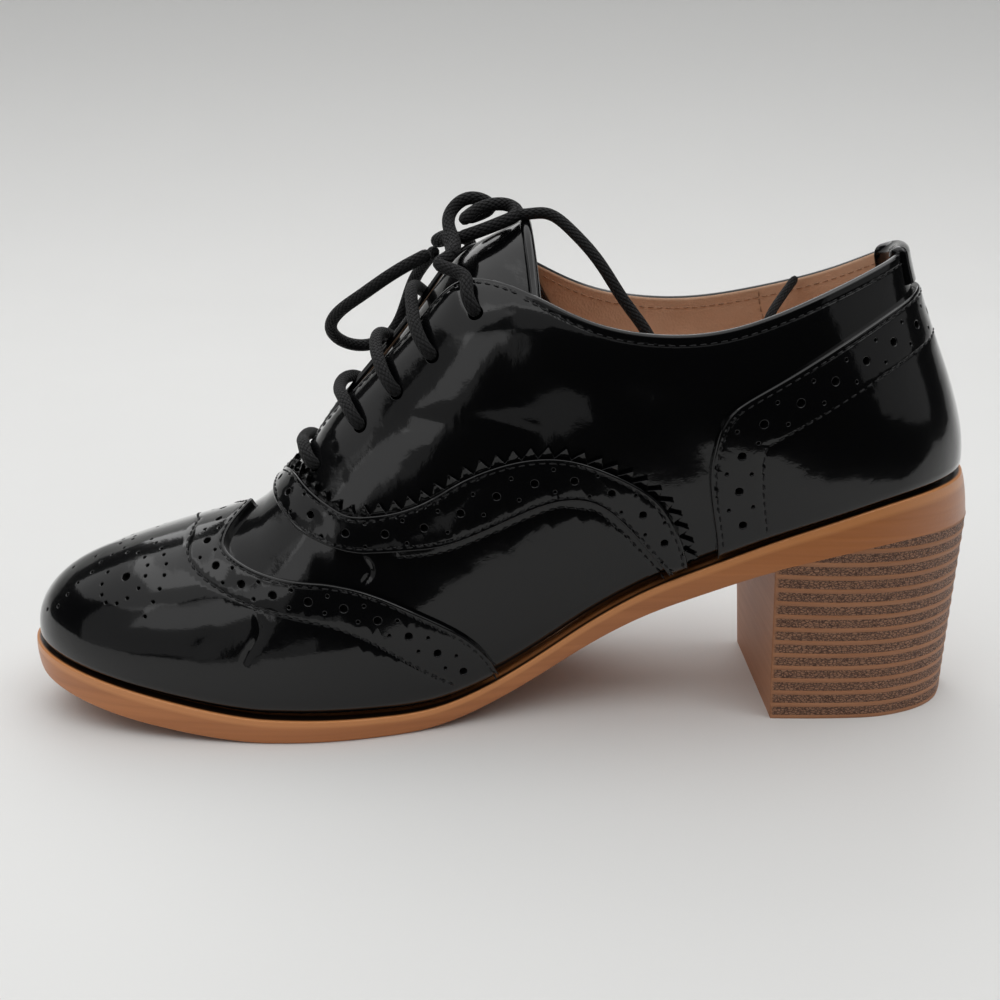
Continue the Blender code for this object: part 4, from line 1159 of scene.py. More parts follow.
@dataclass
class Panel:
    """One piece of leather on the last: an outline, holes, seams and creases in u and v."""

    last: Last
    name: str
    runs: list
    level: float
    drop: float
    cut: Cut
    punches: list = field(default_factory=list)
    seams: list = field(default_factory=list)
    reliefs: list = field(default_factory=list)
    tuck: float = 0.0

    @cached_property
    def troughs(self) -> list:
        """The creases, and the grooves that the seams pull into the leather."""
        lines = [self.last.walk(seam.line, GROOVE_STEP) for seam in self.seams]
        return self.reliefs + [Relief(self.last.skin(*line.T), seam.groove, GROOVE_WIDTH)
                               for line, seam in zip(lines, self.seams)]

    def outline(self) -> tuple:
        """The outline's places and the kind of each span."""
        places = []
        kinds = []
        for run in self.runs:
            pinked = run.kind is EdgeKind.PINKED
            fine = run.places if pinked else self.last.walk(run.places, self.cut.edge_step)
            places.append(fine[:-1])
            kinds += [run.kind] * (len(fine) - 1)
        return np.vstack(places), kinds

    def flat(self, places: np.ndarray) -> np.ndarray:
        """Places in the flat metres that triangles are laid out in."""
        return places * np.array(FLAT)

    def inward(self, places: np.ndarray) -> np.ndarray:
        """Directions in space from each outline point into the panel.

        Args:
            places: the outline, rows of u and v.

        Returns:
            Unit vectors.
        """
        frame = self.last.frame(*places.T)
        ahead = unit(np.roll(frame.point, -1, axis=0) - np.roll(frame.point, 1, axis=0))
        flat = self.flat(places)
        turned = np.roll(flat, -1, axis=0)
        area = np.sum(flat[:, 0] * turned[:, 1] - turned[:, 0] * flat[:, 1])
        hand = np.cross(ahead, frame.normal)
        outside = self.last.shift(places[:1], hand[:1] * 0.0002)
        left = self.flat(outside)[0] - flat[0]
        run = turned[0] - flat[0]
        side = np.sign(run[0] * left[1] - run[1] * left[0]) * np.sign(area)
        return hand * side

    def settle(self, places: np.ndarray, level: float) -> tuple:
        """Points and normals of places at a level over the skin, with the panel's relief.

        Args:
            places: rows of u and v.
            level: distance from the skin, metres.

        Returns:
            Points and unit normals.
        """
        frame = self.last.frame(*places.T)
        height = np.full(len(places), level)
        slope = np.zeros_like(frame.point)
        for relief in self.troughs:
            more, tilt = relief.apply(frame.point)
            height += more
            slope += tilt
        if self.tuck:
            low = np.clip(1 - places[:, 1] / TUCK_TOP, 0, 1)
            steep = 2 * self.tuck * low / TUCK_TOP / np.linalg.norm(frame.rise, axis=1)
            height -= self.tuck * low ** 2
            slope += unit(frame.rise) * steep[:, None]
        return frame.point + frame.normal * height[:, None], unit(frame.normal - slope)

    def lattice(self, flat: np.ndarray) -> np.ndarray:
        """Flat points inside a loop, in rows half a step apart.

        Args:
            flat: the loop's corners.

        Returns:
            Rows of x and y.
        """
        spacing = self.cut.spacing
        low = flat.min(0)
        high = flat.max(0)
        row = spacing * 0.866
        rows = []
        for j, y in enumerate(np.arange(low[1] + row, high[1], row)):
            xs = np.arange(low[0] + spacing * (0.5 + 0.5 * (j % 2)), high[0], spacing)
            rows.append(np.column_stack([xs, np.full(len(xs), y)]))
        rows = np.vstack(rows)
        return rows[np.concatenate([inside(part, flat) for part in np.array_split(rows, 24)])]

    def lines(self, flat: np.ndarray) -> np.ndarray:
        """Flat points inside a loop, in lines beside the seams and creases.

        Args:
            flat: the loop's corners.

        Returns:
            Rows of x and y.
        """
        extra = []
        for seam in self.seams:
            line = self.last.walk(seam.line, 0.0011)
            extra += [self.last.beside(line, away) for away in GROOVE_ROWS]
        for relief in self.reliefs:
            if relief.places is not None:
                line = self.last.walk(relief.places, 0.0008)
                extra += [self.last.beside(line, relief.width * step) for step in CREASE_STEPS]
        extra = self.flat(np.vstack(extra)) if extra else np.zeros((0, 2))
        return extra[inside(extra, flat)] if len(extra) else extra

    def fill(self, loop: np.ndarray, rings: list) -> tuple:
        """Places and triangles that fill the loop around the holes' rings.

        Args:
            loop: outline, rows of u and v.
            rings: one such outline for each hole.

        Returns:
            Places, triangles, the number of each fixed point and how many the outline has.
        """
        flat = self.flat(loop)
        lattice = self.lattice(flat)
        extra = self.lines(flat)
        fixed = [flat] + [self.flat(ring) for ring in rings]
        for shape in fixed[1:]:
            middle = shape.mean(0)
            size = np.linalg.norm(shape - middle, axis=1).max()
            lattice = lattice[np.linalg.norm(lattice - middle, axis=1) > size + self.cut.spacing * 0.35]
            extra = extra[np.linalg.norm(extra - middle, axis=1) > size + 0.0002]
        extra = self.clear(extra, np.vstack(fixed), 0.00035)
        lattice = self.clear(lattice, np.vstack(fixed + [extra]), self.cut.spacing * 0.5)
        points = np.vstack(fixed + [extra, lattice])
        edges = []
        first = 0
        for ring in fixed:
            count = len(ring)
            edges += [(first + i, first + (i + 1) % count) for i in range(count)]
            first += count
        made = delaunay_2d_cdt([Vector(p) for p in points], edges, [], 0, 1e-9)
        spots = np.array([tuple(p) for p in made[0]])
        faces = np.array([f for f in made[2] if len(f) == 3])
        centres = spots[faces].mean(1)
        keep = np.concatenate([inside(part, flat) for part in np.array_split(centres, 32)])
        for ring in fixed[1:]:
            near = np.linalg.norm(centres - ring.mean(0), axis=1) < 0.004
            keep[near] &= ~inside(centres[near], ring)
        order = np.full(len(points), -1)
        for number, sources in enumerate(made[3]):
            for source in sources:
                order[source] = number
        return spots / np.array(FLAT), faces[keep], order, len(flat)

    def clear(self, points: np.ndarray, others: np.ndarray, distance: float) -> np.ndarray:
        """The flat points that are no nearer to the others than a distance.

        Args:
            points: rows of x and y.
            others: points to keep clear of.
            distance: metres.

        Returns:
            The rows kept.
        """
        if not len(points):
            return points
        tree = KDTree(len(others))
        for number, spot in enumerate(others):
            tree.insert((*spot, 0.0), number)
        tree.balance()
        return points[[tree.find((*p, 0.0))[2] > distance for p in points]]

    def build(self, looks: Looks) -> bpy.types.Object:
        """Makes the panel's mesh with its edges, holes and normals.

        Args:
            looks: the materials.

        Returns:
            The mesh object.
        """
        soup = Soup()
        outer, kinds = self.outline()
        count = len(outer)
        into = self.inward(outer)
        folded = np.array([kinds[i] is not EdgeKind.PLAIN or kinds[i - 1] is not EdgeKind.PLAIN
                           for i in range(count)])
        rim = np.array([kinds[i] is EdgeKind.RIM or kinds[i - 1] is EdgeKind.RIM for i in range(count)])
        past = (np.abs(outer[:, 0]) - self.last.vamp_end) / FOLD_GROWS
        size = np.where(folded, self.cut.fold, 0.0)
        size = np.where(rim & (outer[:, 1] > 1 - STEP) & (past <= 1), size * smooth(past), size)
        loop = self.last.shift(outer, into * size[:, None])
        rings = [self.ring(punch, punch.radius + LIP) for punch in self.punches]
        places, faces, order, loop_count = self.fill(loop, rings)
        points, normals = self.settle(places, self.level)
        numbers = soup.add(points, normals)
        for face in faces:
            soup.face(numbers[face])
        first = order[:loop_count]
        spans = np.array([kind is not EdgeKind.PLAIN for kind in kinds])
        self.edge(soup, numbers[first], loop, into, size, spans, EdgeKind.RIM in kinds)
        start = loop_count
        for punch, ring in zip(self.punches, rings):
            lip = numbers[order[start:start + len(ring)]]
            self.hole(soup, punch, lip)
            start += len(ring)
        return soup.build(self.name, [looks.patent, looks.backing, looks.lining])

    def edge(self, soup: Soup, first: np.ndarray, loop: np.ndarray, into: np.ndarray, size: np.ndarray,
             spans: np.ndarray, rim: bool) -> None:
        """Rounds the outline over, then down to the layer below or over to the lining.

        Args:
            soup: the mesh.
            first: numbers of the outline's points.
            loop: their places.
            into: directions into the panel.
            size: radius of the fold at each point.
            spans: which spans have a finished edge.
            rim: whether the edge turns over to the lining.
        """
        frame = self.last.frame(*loop.T)
        normal = frame.normal
        away = unit(-into + normal * np.sum(into * normal, 1)[:, None])
        base = frame.point + normal * self.level
        angles = np.radians([30, 60, 90, 115, 135, 155, 180] if rim else [30, 60, 90])
        below = first
        reach = size[:, None]
        for angle in angles:
            points = base + away * np.sin(angle) * reach - normal * (1 - np.cos(angle)) * reach
            ring = soup.add(points, normal * np.cos(angle) + away * np.sin(angle))
            soup.strip(below, ring, True, 2 if rim and angle > 2.4 else 0, spans)
            below = ring
        if not rim:
            ring = soup.add(base + away * reach - normal * self.drop, away)
            soup.strip(below, ring, True, 0, spans)

    def ring(self, punch: Punch, radius: float) -> np.ndarray:
        """Places of a circle around a punch's middle.

        Args:
            punch: the hole.
            radius: metres.

        Returns:
            Rows of u and v.
        """
        middle = np.array([[punch.u, punch.v]])
        frame = self.last.frame(*middle.T)
        across = unit(frame.along)[0]
        up = np.cross(frame.normal[0], across)
        turn = np.linspace(0, 2 * np.pi, punch.sides, endpoint=False)
        spokes = np.cos(turn)[:, None] * across + np.sin(turn)[:, None] * up
        return self.last.shift(np.repeat(middle, punch.sides, axis=0), spokes * radius)

    def hole(self, soup: Soup, punch: Punch, lip: np.ndarray) -> None:
        """Turns a hole's lip down and closes it with the backing.

        Args:
            soup: the mesh.
            punch: the hole.
            lip: numbers of its lip's points.
        """
        frame = self.last.frame(punch.u, punch.v)
        normal = frame.normal
        centre = frame.point + normal * self.level
        rim, _ = self.settle(self.ring(punch, punch.radius), self.level)
        spokes = unit(rim - centre)
        below = lip
        for shrink, depth, tilt in (*LIP_RINGS, (LIP_RINGS[-1][0], punch.depth, LIP_RINGS[-1][2])):
            angle = np.radians(tilt)
            ring = soup.add(rim - spokes * shrink - normal * depth,
                            normal * np.cos(angle) - spokes * np.sin(angle))
            soup.strip(below, ring, True, 0 if depth < punch.depth else 1)
            below = ring
        soup.face(soup.add(rim - spokes * shrink - normal * depth, np.tile(normal, (len(lip), 1))), 1)


@dataclass
class Sewing:
    """Thread stitches laid along a panel's seams."""

    last: Last
    name: str
    level: float
    material: bpy.types.Material
    facing: int = 1

    def capsule(self, stitch: float, radius: float) -> tuple:
        """One stitch: points and normals along x, arched in z, and its faces.

        Args:
            stitch: its length.
            radius: the thread's radius.

        Returns:
            Points, normals and faces.
        """
        sides = 6
        rings = [(-0.5, 0.35, -0.9), (-0.42, 0.85, -0.35), (0.0, 1.0, 0.05), (0.42, 0.85, -0.35),
                 (0.5, 0.35, -0.9)]
        turn = np.linspace(0, 2 * np.pi, sides, endpoint=False)
        circle = np.column_stack([np.zeros(sides), np.cos(turn), np.sin(turn)])
        points = []
        normals = []
        for place, swell, lift in rings:
            points.append(circle * radius * swell + np.array([place * stitch, 0, lift * radius]))
            normals.append(circle + np.array([0.9 * np.sign(place) * (1.3 - swell), 0, 0]))
        faces = []
        for k in range(len(rings) - 1):
            for i in range(sides):
                j = (i + 1) % sides
                faces.append((k * sides + i, k * sides + j, (k + 1) * sides + j, (k + 1) * sides + i))
        return np.vstack(points), unit(np.vstack(normals)), faces

    def build(self, seams: list) -> bpy.types.Object:
        """Makes every stitch of the seams as one object.

        Args:
            seams: the stitch rows.

        Returns:
            The mesh object.
        """
        soup = Soup()
        for seam in seams:
            line = self.last.walk(seam.line, seam.pitch)
            frame = self.last.frame(*line.T)
            ahead = unit(np.gradient(frame.point, axis=0))
            out = frame.normal * self.facing
            side = unit(np.cross(out, ahead))
            shape, turned, faces = self.capsule(seam.stitch, seam.radius)
            centre = frame.point + frame.normal * self.level + out * (seam.radius * 0.35 - seam.groove)
            for middle, x, y, z in zip(centre, ahead, side, out):
                basis = np.array([x, y, z])
                numbers = soup.add(middle + shape @ basis, turned @ basis)
                for face in faces:
                    soup.face(numbers[list(face)])
        return adopt(soup.build(self.name, [self.material]), "lace_black")


@dataclass
class Upper:
    """Vamp and quarters in one skin, with its facings, eyelets, topline and seams."""

    last: Last
    looks: Looks
    eyelet: float = 0.0018
    bore: float = 0.0019
    topline: tuple = ((0.700, 0.985, 0.0026), (0.376, 0.690, 0.0020))
    hidden_seam: float = 0.0017

    def build(self) -> None:
        """Makes the skin and its stitching."""
        end = self.last.vamp_end
        corners = [(-1.0, 0.0), (1.0, 0.0), (1.0, 1.0), (end, 1.0), (-end, 1.0), (-1.0, 1.0), (-1.0, 0.0)]
        kinds = [EdgeKind.PLAIN, EdgeKind.PLAIN, EdgeKind.RIM, EdgeKind.PLAIN, EdgeKind.RIM, EdgeKind.PLAIN]
        runs = [Run(along(np.array(ends), np.linspace(0, 1, 200)), kind)
                for *ends, kind in zip(corners, corners[1:], kinds)]
        punches = [Punch(side * hole.u, hole.v, self.eyelet, self.bore, 20)
                   for side in (-1, 1) for hole in EYELETS]
        seams = []
        for side in (-1, 1):
            for start, stop, depth in self.topline:
                places = self.last.below_top(np.linspace(start, stop, 90) * side, depth)
                seams.append(Seam(self.last.walk(places)))
            low = [(row.low_u * side, row.low_v) for row in BAND if row.low_u > 0.42]
            path = self.last.walk(np.array(low), 0.002)
            seams.append(Seam(self.last.beside(path, self.hidden_seam, (side * 0.5, 0.0))))
        creases = [crease(self.last, *row) for row in CREASES]
        cut = Cut(0.0021, 0.0015, self.last.wall / 2)
        panel = Panel(self.last, "upper_skin", runs, 0.0, 0.0, cut, punches, seams, creases, TUCK)
        adopt(panel.build(self.looks), "patent_black", "upper")
        Sewing(self.last, "upper_stitches", 0.0, self.looks.thread).build(seams)


class Broguing(NamedTuple):
    """The punched pattern along a strip: big holes in a row, with pairs of small ones between."""

    pitch: float
    big: float
    small: float
    apart: float

    def holes(self, last: Last, path: np.ndarray, depth: float) -> list:
        """Punches along a path in the strip's middle.

        Args:
            last: the form it lies on.
            path: rows of u and v.
            depth: the holes' depth.

        Returns:
            The punches.
        """
        line = last.walk(path, self.pitch / 2)
        out = [Punch(*spot, self.big, depth, 14) for spot in line[1:-1:2]]
        for side in (-1, 1):
            beside = last.beside(line, side * self.apart / 2)
            out += [Punch(*spot, self.small, depth, 10) for spot in beside[2:-1:2]]
        return out


def spaced(last: Last, punches: list) -> list:
    """The punches that keep clear of one another and of the ridge, in the order given.

    Args:
        last: the form they lie on.
        punches: punches, the most wanted first.

    Returns:
        Those kept.
    """
    kept = []
    spots = []
    for punch in punches:
        spot = last.skin(np.array([punch.u]), np.array([punch.v]))[0]
        room = all(np.linalg.norm(spot - other) > punch.radius + radius + 0.0006 for other, radius in spots)
        if room and punch.v < 0.965 and punch.v > 0.05:
            kept.append(punch)
            spots.append((spot, punch.radius))
    return kept


@dataclass
class Overlay:
    """A panel that lies on the upper, with what all such panels share."""

    last: Last
    looks: Looks
    level: float = 0.00175
    sink: float = 0.0001
    depth: float = 0.0016

    def lay(self, name: str, node: str, runs: list, cut: Cut, punches: list, seams: list,
            creases: tuple = ()) -> None:
        """Makes the panel.

        Args:
            name: the piece's name.
            node: the solid it stands for.
            runs: the sides of its outline.
            cut: how finely it is laid out.
            punches: its holes, with those that meet left out.
            seams: its stitch rows.
            creases: rows of places, depth and width.
        """
        reliefs = [crease(self.last, *row) for row in creases]
        panel = Panel(self.last, name, runs, self.level, self.level + self.sink, cut,
                      spaced(self.last, punches), seams, reliefs, TUCK)
        adopt(panel.build(self.looks), "patent_black", node)

    def sew(self, name: str, seams: list) -> None:
        """Makes the stitches."""
        Sewing(self.last, name, self.level, self.looks.thread).build(seams)

    def beside(self, path: np.ndarray, distance: float, goal: tuple) -> np.ndarray:
        """A seam's line beside an edge."""
        return self.last.walk(self.last.beside(path, distance, goal))


@dataclass
class ToeCap(Overlay):
    """Cap over the toe: folded edge, two stitch rows, punched row and medallion."""

    foot: float = 0.020
    cut: Cut = Cut(0.0018, 0.0012, 0.0006)
    broguing: Broguing = Broguing(0.0084, 0.00105, 0.00050, 0.0042)

    def edge(self) -> np.ndarray:
        """The cap's edge on the outer side, from sole to ridge."""
        v = np.linspace(self.foot, 1, 90)
        return np.column_stack([Spline([e.v for e in CAP_EDGE], [e.u for e in CAP_EDGE])(v), v])

    def build(self) -> None:
        """Makes the cap and its stitching."""
        right = self.edge()
        left = right * (-1, 1)
        tip_u, foot_u = right[-1, 0], right[0, 0]
        across = np.linspace(-1, 1, 160)
        runs = [Run(np.column_stack([across * foot_u, np.full(160, self.foot)]), EdgeKind.PLAIN),
                Run(right, EdgeKind.FOLDED),
                Run(np.column_stack([-across * tip_u, np.ones(160)]), EdgeKind.PLAIN),
                Run(left[::-1], EdgeKind.FOLDED)]
        inner = curve(CAP_ROW, 80)
        seams = []
        punches = []
        for side in (-1, 1):
            flip = np.array((side, 1))
            edge = right[::-1] * flip
            seams.append(Seam(self.beside(edge[2:], 0.0012, (side * 0.05, 0.5))))
            row = self.last.walk(inner * flip)
            seams.append(Seam(row, 0.0025, 0.00175, 0.00030, 0.00022))
            outer = self.last.walk(edge[1:])
            share = np.linspace(0, 1, 70)
            middle = 0.5 * (along(outer, share) + along(row, share))
            punches += self.broguing.holes(self.last, middle, self.depth)
            for hole in MEDALLION:
                sides = 12 if hole.radius > 0.0008 else 10
                punches.append(Punch(side * hole.u, hole.v, hole.radius, self.depth, sides))
        self.lay("toe_cap_skin", "toe_cap", runs, self.cut, punches, seams, CAP_CREASES)
        self.sew("toe_cap_stitches", seams)


@dataclass
class VampBand(Overlay):
    """Band over the vamp, down to the sole on both sides, with points showing behind its upper edge."""

    point: float = 0.0028
    pitch: float = 0.0039
    inset: float = 0.0011
    cut: Cut = Cut(0.0017, 0.0011, 0.0005)
    strip_cut: Cut = Cut(0.0009, 0.0009, 0.00014)
    strip_level: float = 0.0015
    strip_drop: float = 0.0012
    curl: float = 0.00095
    curl_width: float = 0.0018
    broguing: Broguing = Broguing(0.0097, 0.00100, 0.00048, 0.0056)

    def edges(self, side: int) -> tuple:
        """Lower and upper edge of one side, from the ridge to the sole."""
        rows = curve(BAND, 120)
        rows[:, (1, 3)] = np.minimum(rows[:, (1, 3)], 1.0)
        flip = np.array((side, 1))
        return rows[:, :2] * flip, rows[:, 2:] * flip

    def build(self) -> None:
        """Makes both sides of the band, the points behind them and the stitching."""
        seams = []
        for side, name in ((-1, "inner"), (1, "outer")):
            low, high = self.edges(side)
            goal = tuple(low[60])
            high[1:] = self.last.beside(high, self.inset, goal)[1:]
            high[0] = (side * (abs(high[0, 0]) - 0.004), 1.0)
            foot = np.linspace(high[-1], low[-1], 12)
            top = np.linspace(low[0], high[0], 8)
            runs = [Run(top, EdgeKind.PLAIN), Run(high, EdgeKind.FOLDED), Run(foot, EdgeKind.PLAIN),
                    Run(low[::-1], EdgeKind.FOLDED)]
            rows = [Seam(self.beside(high[1:-1], 0.0011, goal)),
                    Seam(self.beside(low[1:-1], 0.0010, tuple(high[60])))]
            share = np.linspace(0, 1, 90)
            middle = 0.5 * (along(low, share) + along(high, share))
            punches = self.broguing.holes(self.last, middle, self.depth)
            self.lay(f"vamp_band_{name}", "vamp_band", runs, self.cut, punches, rows)
            seams += rows
            self.gimp(side, name, high)
        self.sew("vamp_band_stitches", seams)

    def gimp(self, side: int, name: str, edge: np.ndarray) -> None:
        """The pinked strip that shows behind the band's upper edge on one side.

        Args:
            side: -1 or 1.
            name: the side's name.
            edge: the band's upper edge.
        """
        base = self.last.walk(edge[1:], self.pitch / 6)
        count = (len(base) - 1) // 6
        base = base[:count * 6 + 1]
        rise = np.tile(np.array([0.0, 0.30, 0.62, 0.96, 0.64, 0.32]), count)
        rise = np.append(rise, 0.0) * self.point + 0.0002
        frame = self.last.frame(*base.T)
        ahead = unit(np.gradient(frame.point, axis=0))
        outward = np.cross(ahead, frame.normal) * side
        teeth = self.last.shift(base, outward * rise[:, None] + ahead * (rise * 0.22)[:, None])
        hidden = self.last.shift(base, outward * -0.0020)
        runs = [Run(teeth, EdgeKind.PINKED), Run(np.linspace(teeth[-1], hidden[-1], 5), EdgeKind.PLAIN),
                Run(hidden[::-1], EdgeKind.PLAIN), Run(np.linspace(hidden[0], teeth[0], 5), EdgeKind.PLAIN)]
        curl = Relief(self.last.skin(*self.last.walk(edge[1:], GROOVE_STEP).T), self.curl, self.curl_width)
        panel = Panel(self.last, f"pinked_strip_{name}", runs, self.strip_level, self.strip_drop,
                      self.strip_cut, reliefs=[curl])
        adopt(panel.build(self.looks), "patent_black")


@dataclass
class Counter(Overlay):
    """Counter around the heel: folded edge, punched strip and two stitch rows."""

    strip: float = 0.0118
    cut: Cut = Cut(0.0019, 0.0012, 0.0007)
    broguing: Broguing = Broguing(0.0094, 0.00105, 0.00050, 0.0058)

    def edge(self) -> np.ndarray:
        """Front and top edge from the outer side's sole round the back to the inner side's sole."""
        places = np.array(COUNTER_FRONT + COUNTER_TOP[1:])
        knots = distances(places * FLAT)
        half = Spline(knots, places)(np.linspace(0, knots[-1], 140))
        return np.vstack([half, (half * (-1, 1) + (2, 0))[-2::-1]])

    def build(self) -> None:
        """Makes the counter and its stitching."""
        edge = self.edge()
        foot = np.column_stack([np.linspace(edge[-1, 0], edge[0, 0], 120), np.full(120, edge[0, 1])])
        runs = [Run(edge, EdgeKind.FOLDED), Run(foot, EdgeKind.PLAIN)]
        seams = [Seam(self.inner(edge, 0.0014)), Seam(self.inner(edge, self.strip))]
        middle = self.inner(edge, self.strip / 2 + 0.0006)
        punches = self.broguing.holes(self.last, middle, self.depth)
        self.lay("heel_counter_skin", "heel_counter", runs, self.cut, punches, seams)
        self.sew("heel_counter_stitches", seams)

    def inner(self, edge: np.ndarray, distance: float) -> np.ndarray:
        """A path parallel to the edge inside the panel, down to the sole."""
        path = self.last.beside(self.last.walk(edge, 0.002), distance, (1.0, 0.3))
        return self.last.walk(path[path[:, 1] > 0.045])


@dataclass
class BackStrip:
    """Strip folded over the collar's back."""

    last: Last
    looks: Looks
    half: float = 0.026
    foot: float = 0.868
    inside_foot: float = 0.860
    level: float = 0.00130

    def build(self) -> None:
        """Makes the strip."""
        ends = np.array([0.93, 0.97, 0.995, 1.0])
        share = np.concatenate([-ends[::-1], np.linspace(-0.86, 0.86, 17), ends])
        u = 1 + self.half * share
        edge = np.clip((1 - np.abs(share)) / 0.14, 0, 1)
        level = self.level * np.sqrt(np.clip(1 - (1 - edge) ** 2, 0, 1))[:, None] + 0.00002
        rows = []
        normals = []
        lean = np.sign(share)[:, None] * (1 - edge)[:, None] ** 2 * 2.0
        top = self.last.frame(u, 1.0)
        wall = self.last.wall
        inset = 1 - (wall / 2) / np.linalg.norm(top.rise, axis=1)
        for v in np.linspace(self.foot, inset.min(), 14):
            frame = self.last.frame(u, v)
            rows.append(frame.point + frame.normal * level)
            normals.append(unit(frame.normal + unit(frame.along) * lean))
        frame = self.last.frame(u, inset)
        centre = frame.point - frame.normal * wall / 2
        up = unit(frame.rise)
        for angle in np.linspace(0, np.pi, 13):
            arm = frame.normal * np.cos(angle) + up * np.sin(angle)
            rows.append(centre + arm * (wall / 2 + level))
            normals.append(unit(arm + unit(frame.along) * lean))
        for v in np.linspace(inset.min(), self.inside_foot, 14):
            frame = self.last.frame(u, v)
            rows.append(frame.point - frame.normal * (wall + level))
            normals.append(unit(-frame.normal + unit(frame.along) * lean))
        soup = Soup()
        numbers = soup.grid(np.array(rows), np.array(normals))
        for row, foot, depth in ((0, self.foot, 0.0), (-1, self.inside_foot, wall)):
            frame = self.last.frame(u, foot)
            skirt = soup.add(frame.point - frame.normal * depth, -unit(frame.rise))
            soup.strip(numbers[row], skirt)
        adopt(soup.build("back_strip_skin", [self.looks.patent]), "patent_black", "back_strip")


@dataclass
class LiningSkin:
    """Tan lining inside the upper, with a stitch row below the rim and a seam on each side."""

    last: Last
    looks: Looks
    foot: float = 0.03
    stitches_below: float = 0.0030
    seam_at: float = 0.888

    def build(self) -> None:
        """Makes the lining and its stitching."""
        u = np.linspace(-1, 1, 361)
        wall = self.last.wall
        top = self.last.frame(u, 1.0)
        inset = (wall / 2) / np.linalg.norm(top.rise, axis=1)
        inset *= smooth((np.abs(u) - self.last.vamp_end) / FOLD_GROWS)
        v = self.foot + (1 - inset - self.foot) * np.linspace(0, 1, 46)[:, None]
        frame = self.last.frame(u, v)
        soup = Soup()
        soup.grid(frame.point - frame.normal * wall, -frame.normal)
        adopt(soup.build("lining_skin", [self.looks.lining]), "insole_tan")
        seams = []
        for side in (-1, 1):
            places = self.last.below_top(np.linspace(0.72, 0.985, 80) * side, self.stitches_below)
            seams.append(Seam(places, radius=0.00017, groove=0.0))
            down = [(side * self.seam_at, v) for v in np.linspace(0.55, 0.965, 30)]
            seams.append(Seam(np.array(down), 0.0022, 0.0017, 0.00020, 0.0))
        Sewing(self.last, "lining_stitches", -wall, self.looks.lining_thread, -1).build(seams)


@dataclass
class Tongue:
    """Tongue under the lacing, with a bound edge."""

    last: Last
    looks: Looks
    start: float = 0.400
    rising: float = 0.640
    end: float = 0.705
    side: float = 0.740
    under: float = 0.0029
    thick: float = 0.0016
    arch: float = 0.9
    bind_wide: float = 0.0016
    bind_high: float = 0.00115

    def row(self, u: float) -> np.ndarray:
        """The outer face across the shoe at u.

        Args:
            u: place along the tongue.

        Returns:
            Points from the inner side to the outer.
        """
        v = np.linspace(self.side, 1, 12)
        near = self.last.layer(-u, v, -self.under)
        far = self.last.layer(u, v, -self.under)
        span = np.linalg.norm(far[-1] - near[-1])
        pull = span * (1.0 + self.arch * np.clip((u - self.rising) / (self.end - self.rising), 0, 1))
        out_near = unit(near[-1] - near[-4]) * pull
        out_far = unit(far[-1] - far[-4]) * pull
        t = np.linspace(0, 1, 26)[1:-1, None]
        arch = ((2 * t ** 3 - 3 * t ** 2 + 1) * near[-1] + (t ** 3 - 2 * t ** 2 + t) * out_near
                + (3 * t ** 2 - 2 * t ** 3) * far[-1] - (t ** 3 - t ** 2) * out_far)
        return np.vstack([near, arch, far[::-1]])

    def build(self) -> None:
        """Makes the tongue and its binding."""
        grid = np.array([self.row(u) for u in np.linspace(self.start, self.end, 64)])
        normal = unit(np.cross(np.gradient(grid, axis=0), np.gradient(grid, axis=1)))
        if normal[32, grid.shape[1] // 2, 2] < 0:
            normal = -normal
        soup = Soup()
        outer = soup.grid(grid, normal)
        inner = soup.grid(grid - normal * self.thick, -normal, 1)
        ahead = unit(np.gradient(grid, axis=0))
        across = unit(np.gradient(grid, axis=1))
        points = np.vstack(soup.points)
        for low, high, tilt in ((outer[0], inner[0], -ahead[0]), (outer[-1], inner[-1], ahead[-1]),
                                (outer[:, 0], inner[:, 0], -across[:, 0]),
                                (outer[:, -1], inner[:, -1], across[:, -1])):
            soup.strip(soup.add(points[low], tilt), soup.add(points[high], tilt))
        adopt(soup.build("tongue_skin", [self.looks.patent, self.looks.lining]), "patent_black", "tongue")
        middle = grid - normal * self.thick / 2
        rim = np.vstack([middle[8:-1, 0], middle[-1, 1:-1], middle[-1:8:-1, -1]])
        ends = np.vstack([normal[8:-1, 0], normal[-1, 1:-1], normal[-1:8:-1, -1]])
        self.binding(rim, ends)

    def binding(self, rim: np.ndarray, normals: np.ndarray) -> None:
        """A thin folded binding along the tongue's free edge.

        Args:
            rim: points along the edge.
            normals: the tongue's normals there.
        """
        ahead = unit(np.gradient(rim, axis=0))
        side = unit(np.cross(ahead, normals))
        rows = []
        turned = []
        for turn in np.linspace(0, 2 * np.pi, 12, endpoint=False):
            arm = side * np.cos(turn) + normals * np.sin(turn)
            rows.append(rim + side * np.cos(turn) * self.bind_wide + normals * np.sin(turn) * self.bind_high)
            turned.append(arm)
        soup = Soup()
        numbers = soup.add(np.array(rows), np.array(turned)).reshape(12, len(rim))
        for i in range(12):
            soup.strip(numbers[i], numbers[(i + 1) % 12])
        adopt(soup.build("tongue_binding", [self.looks.patent]), "patent_black")


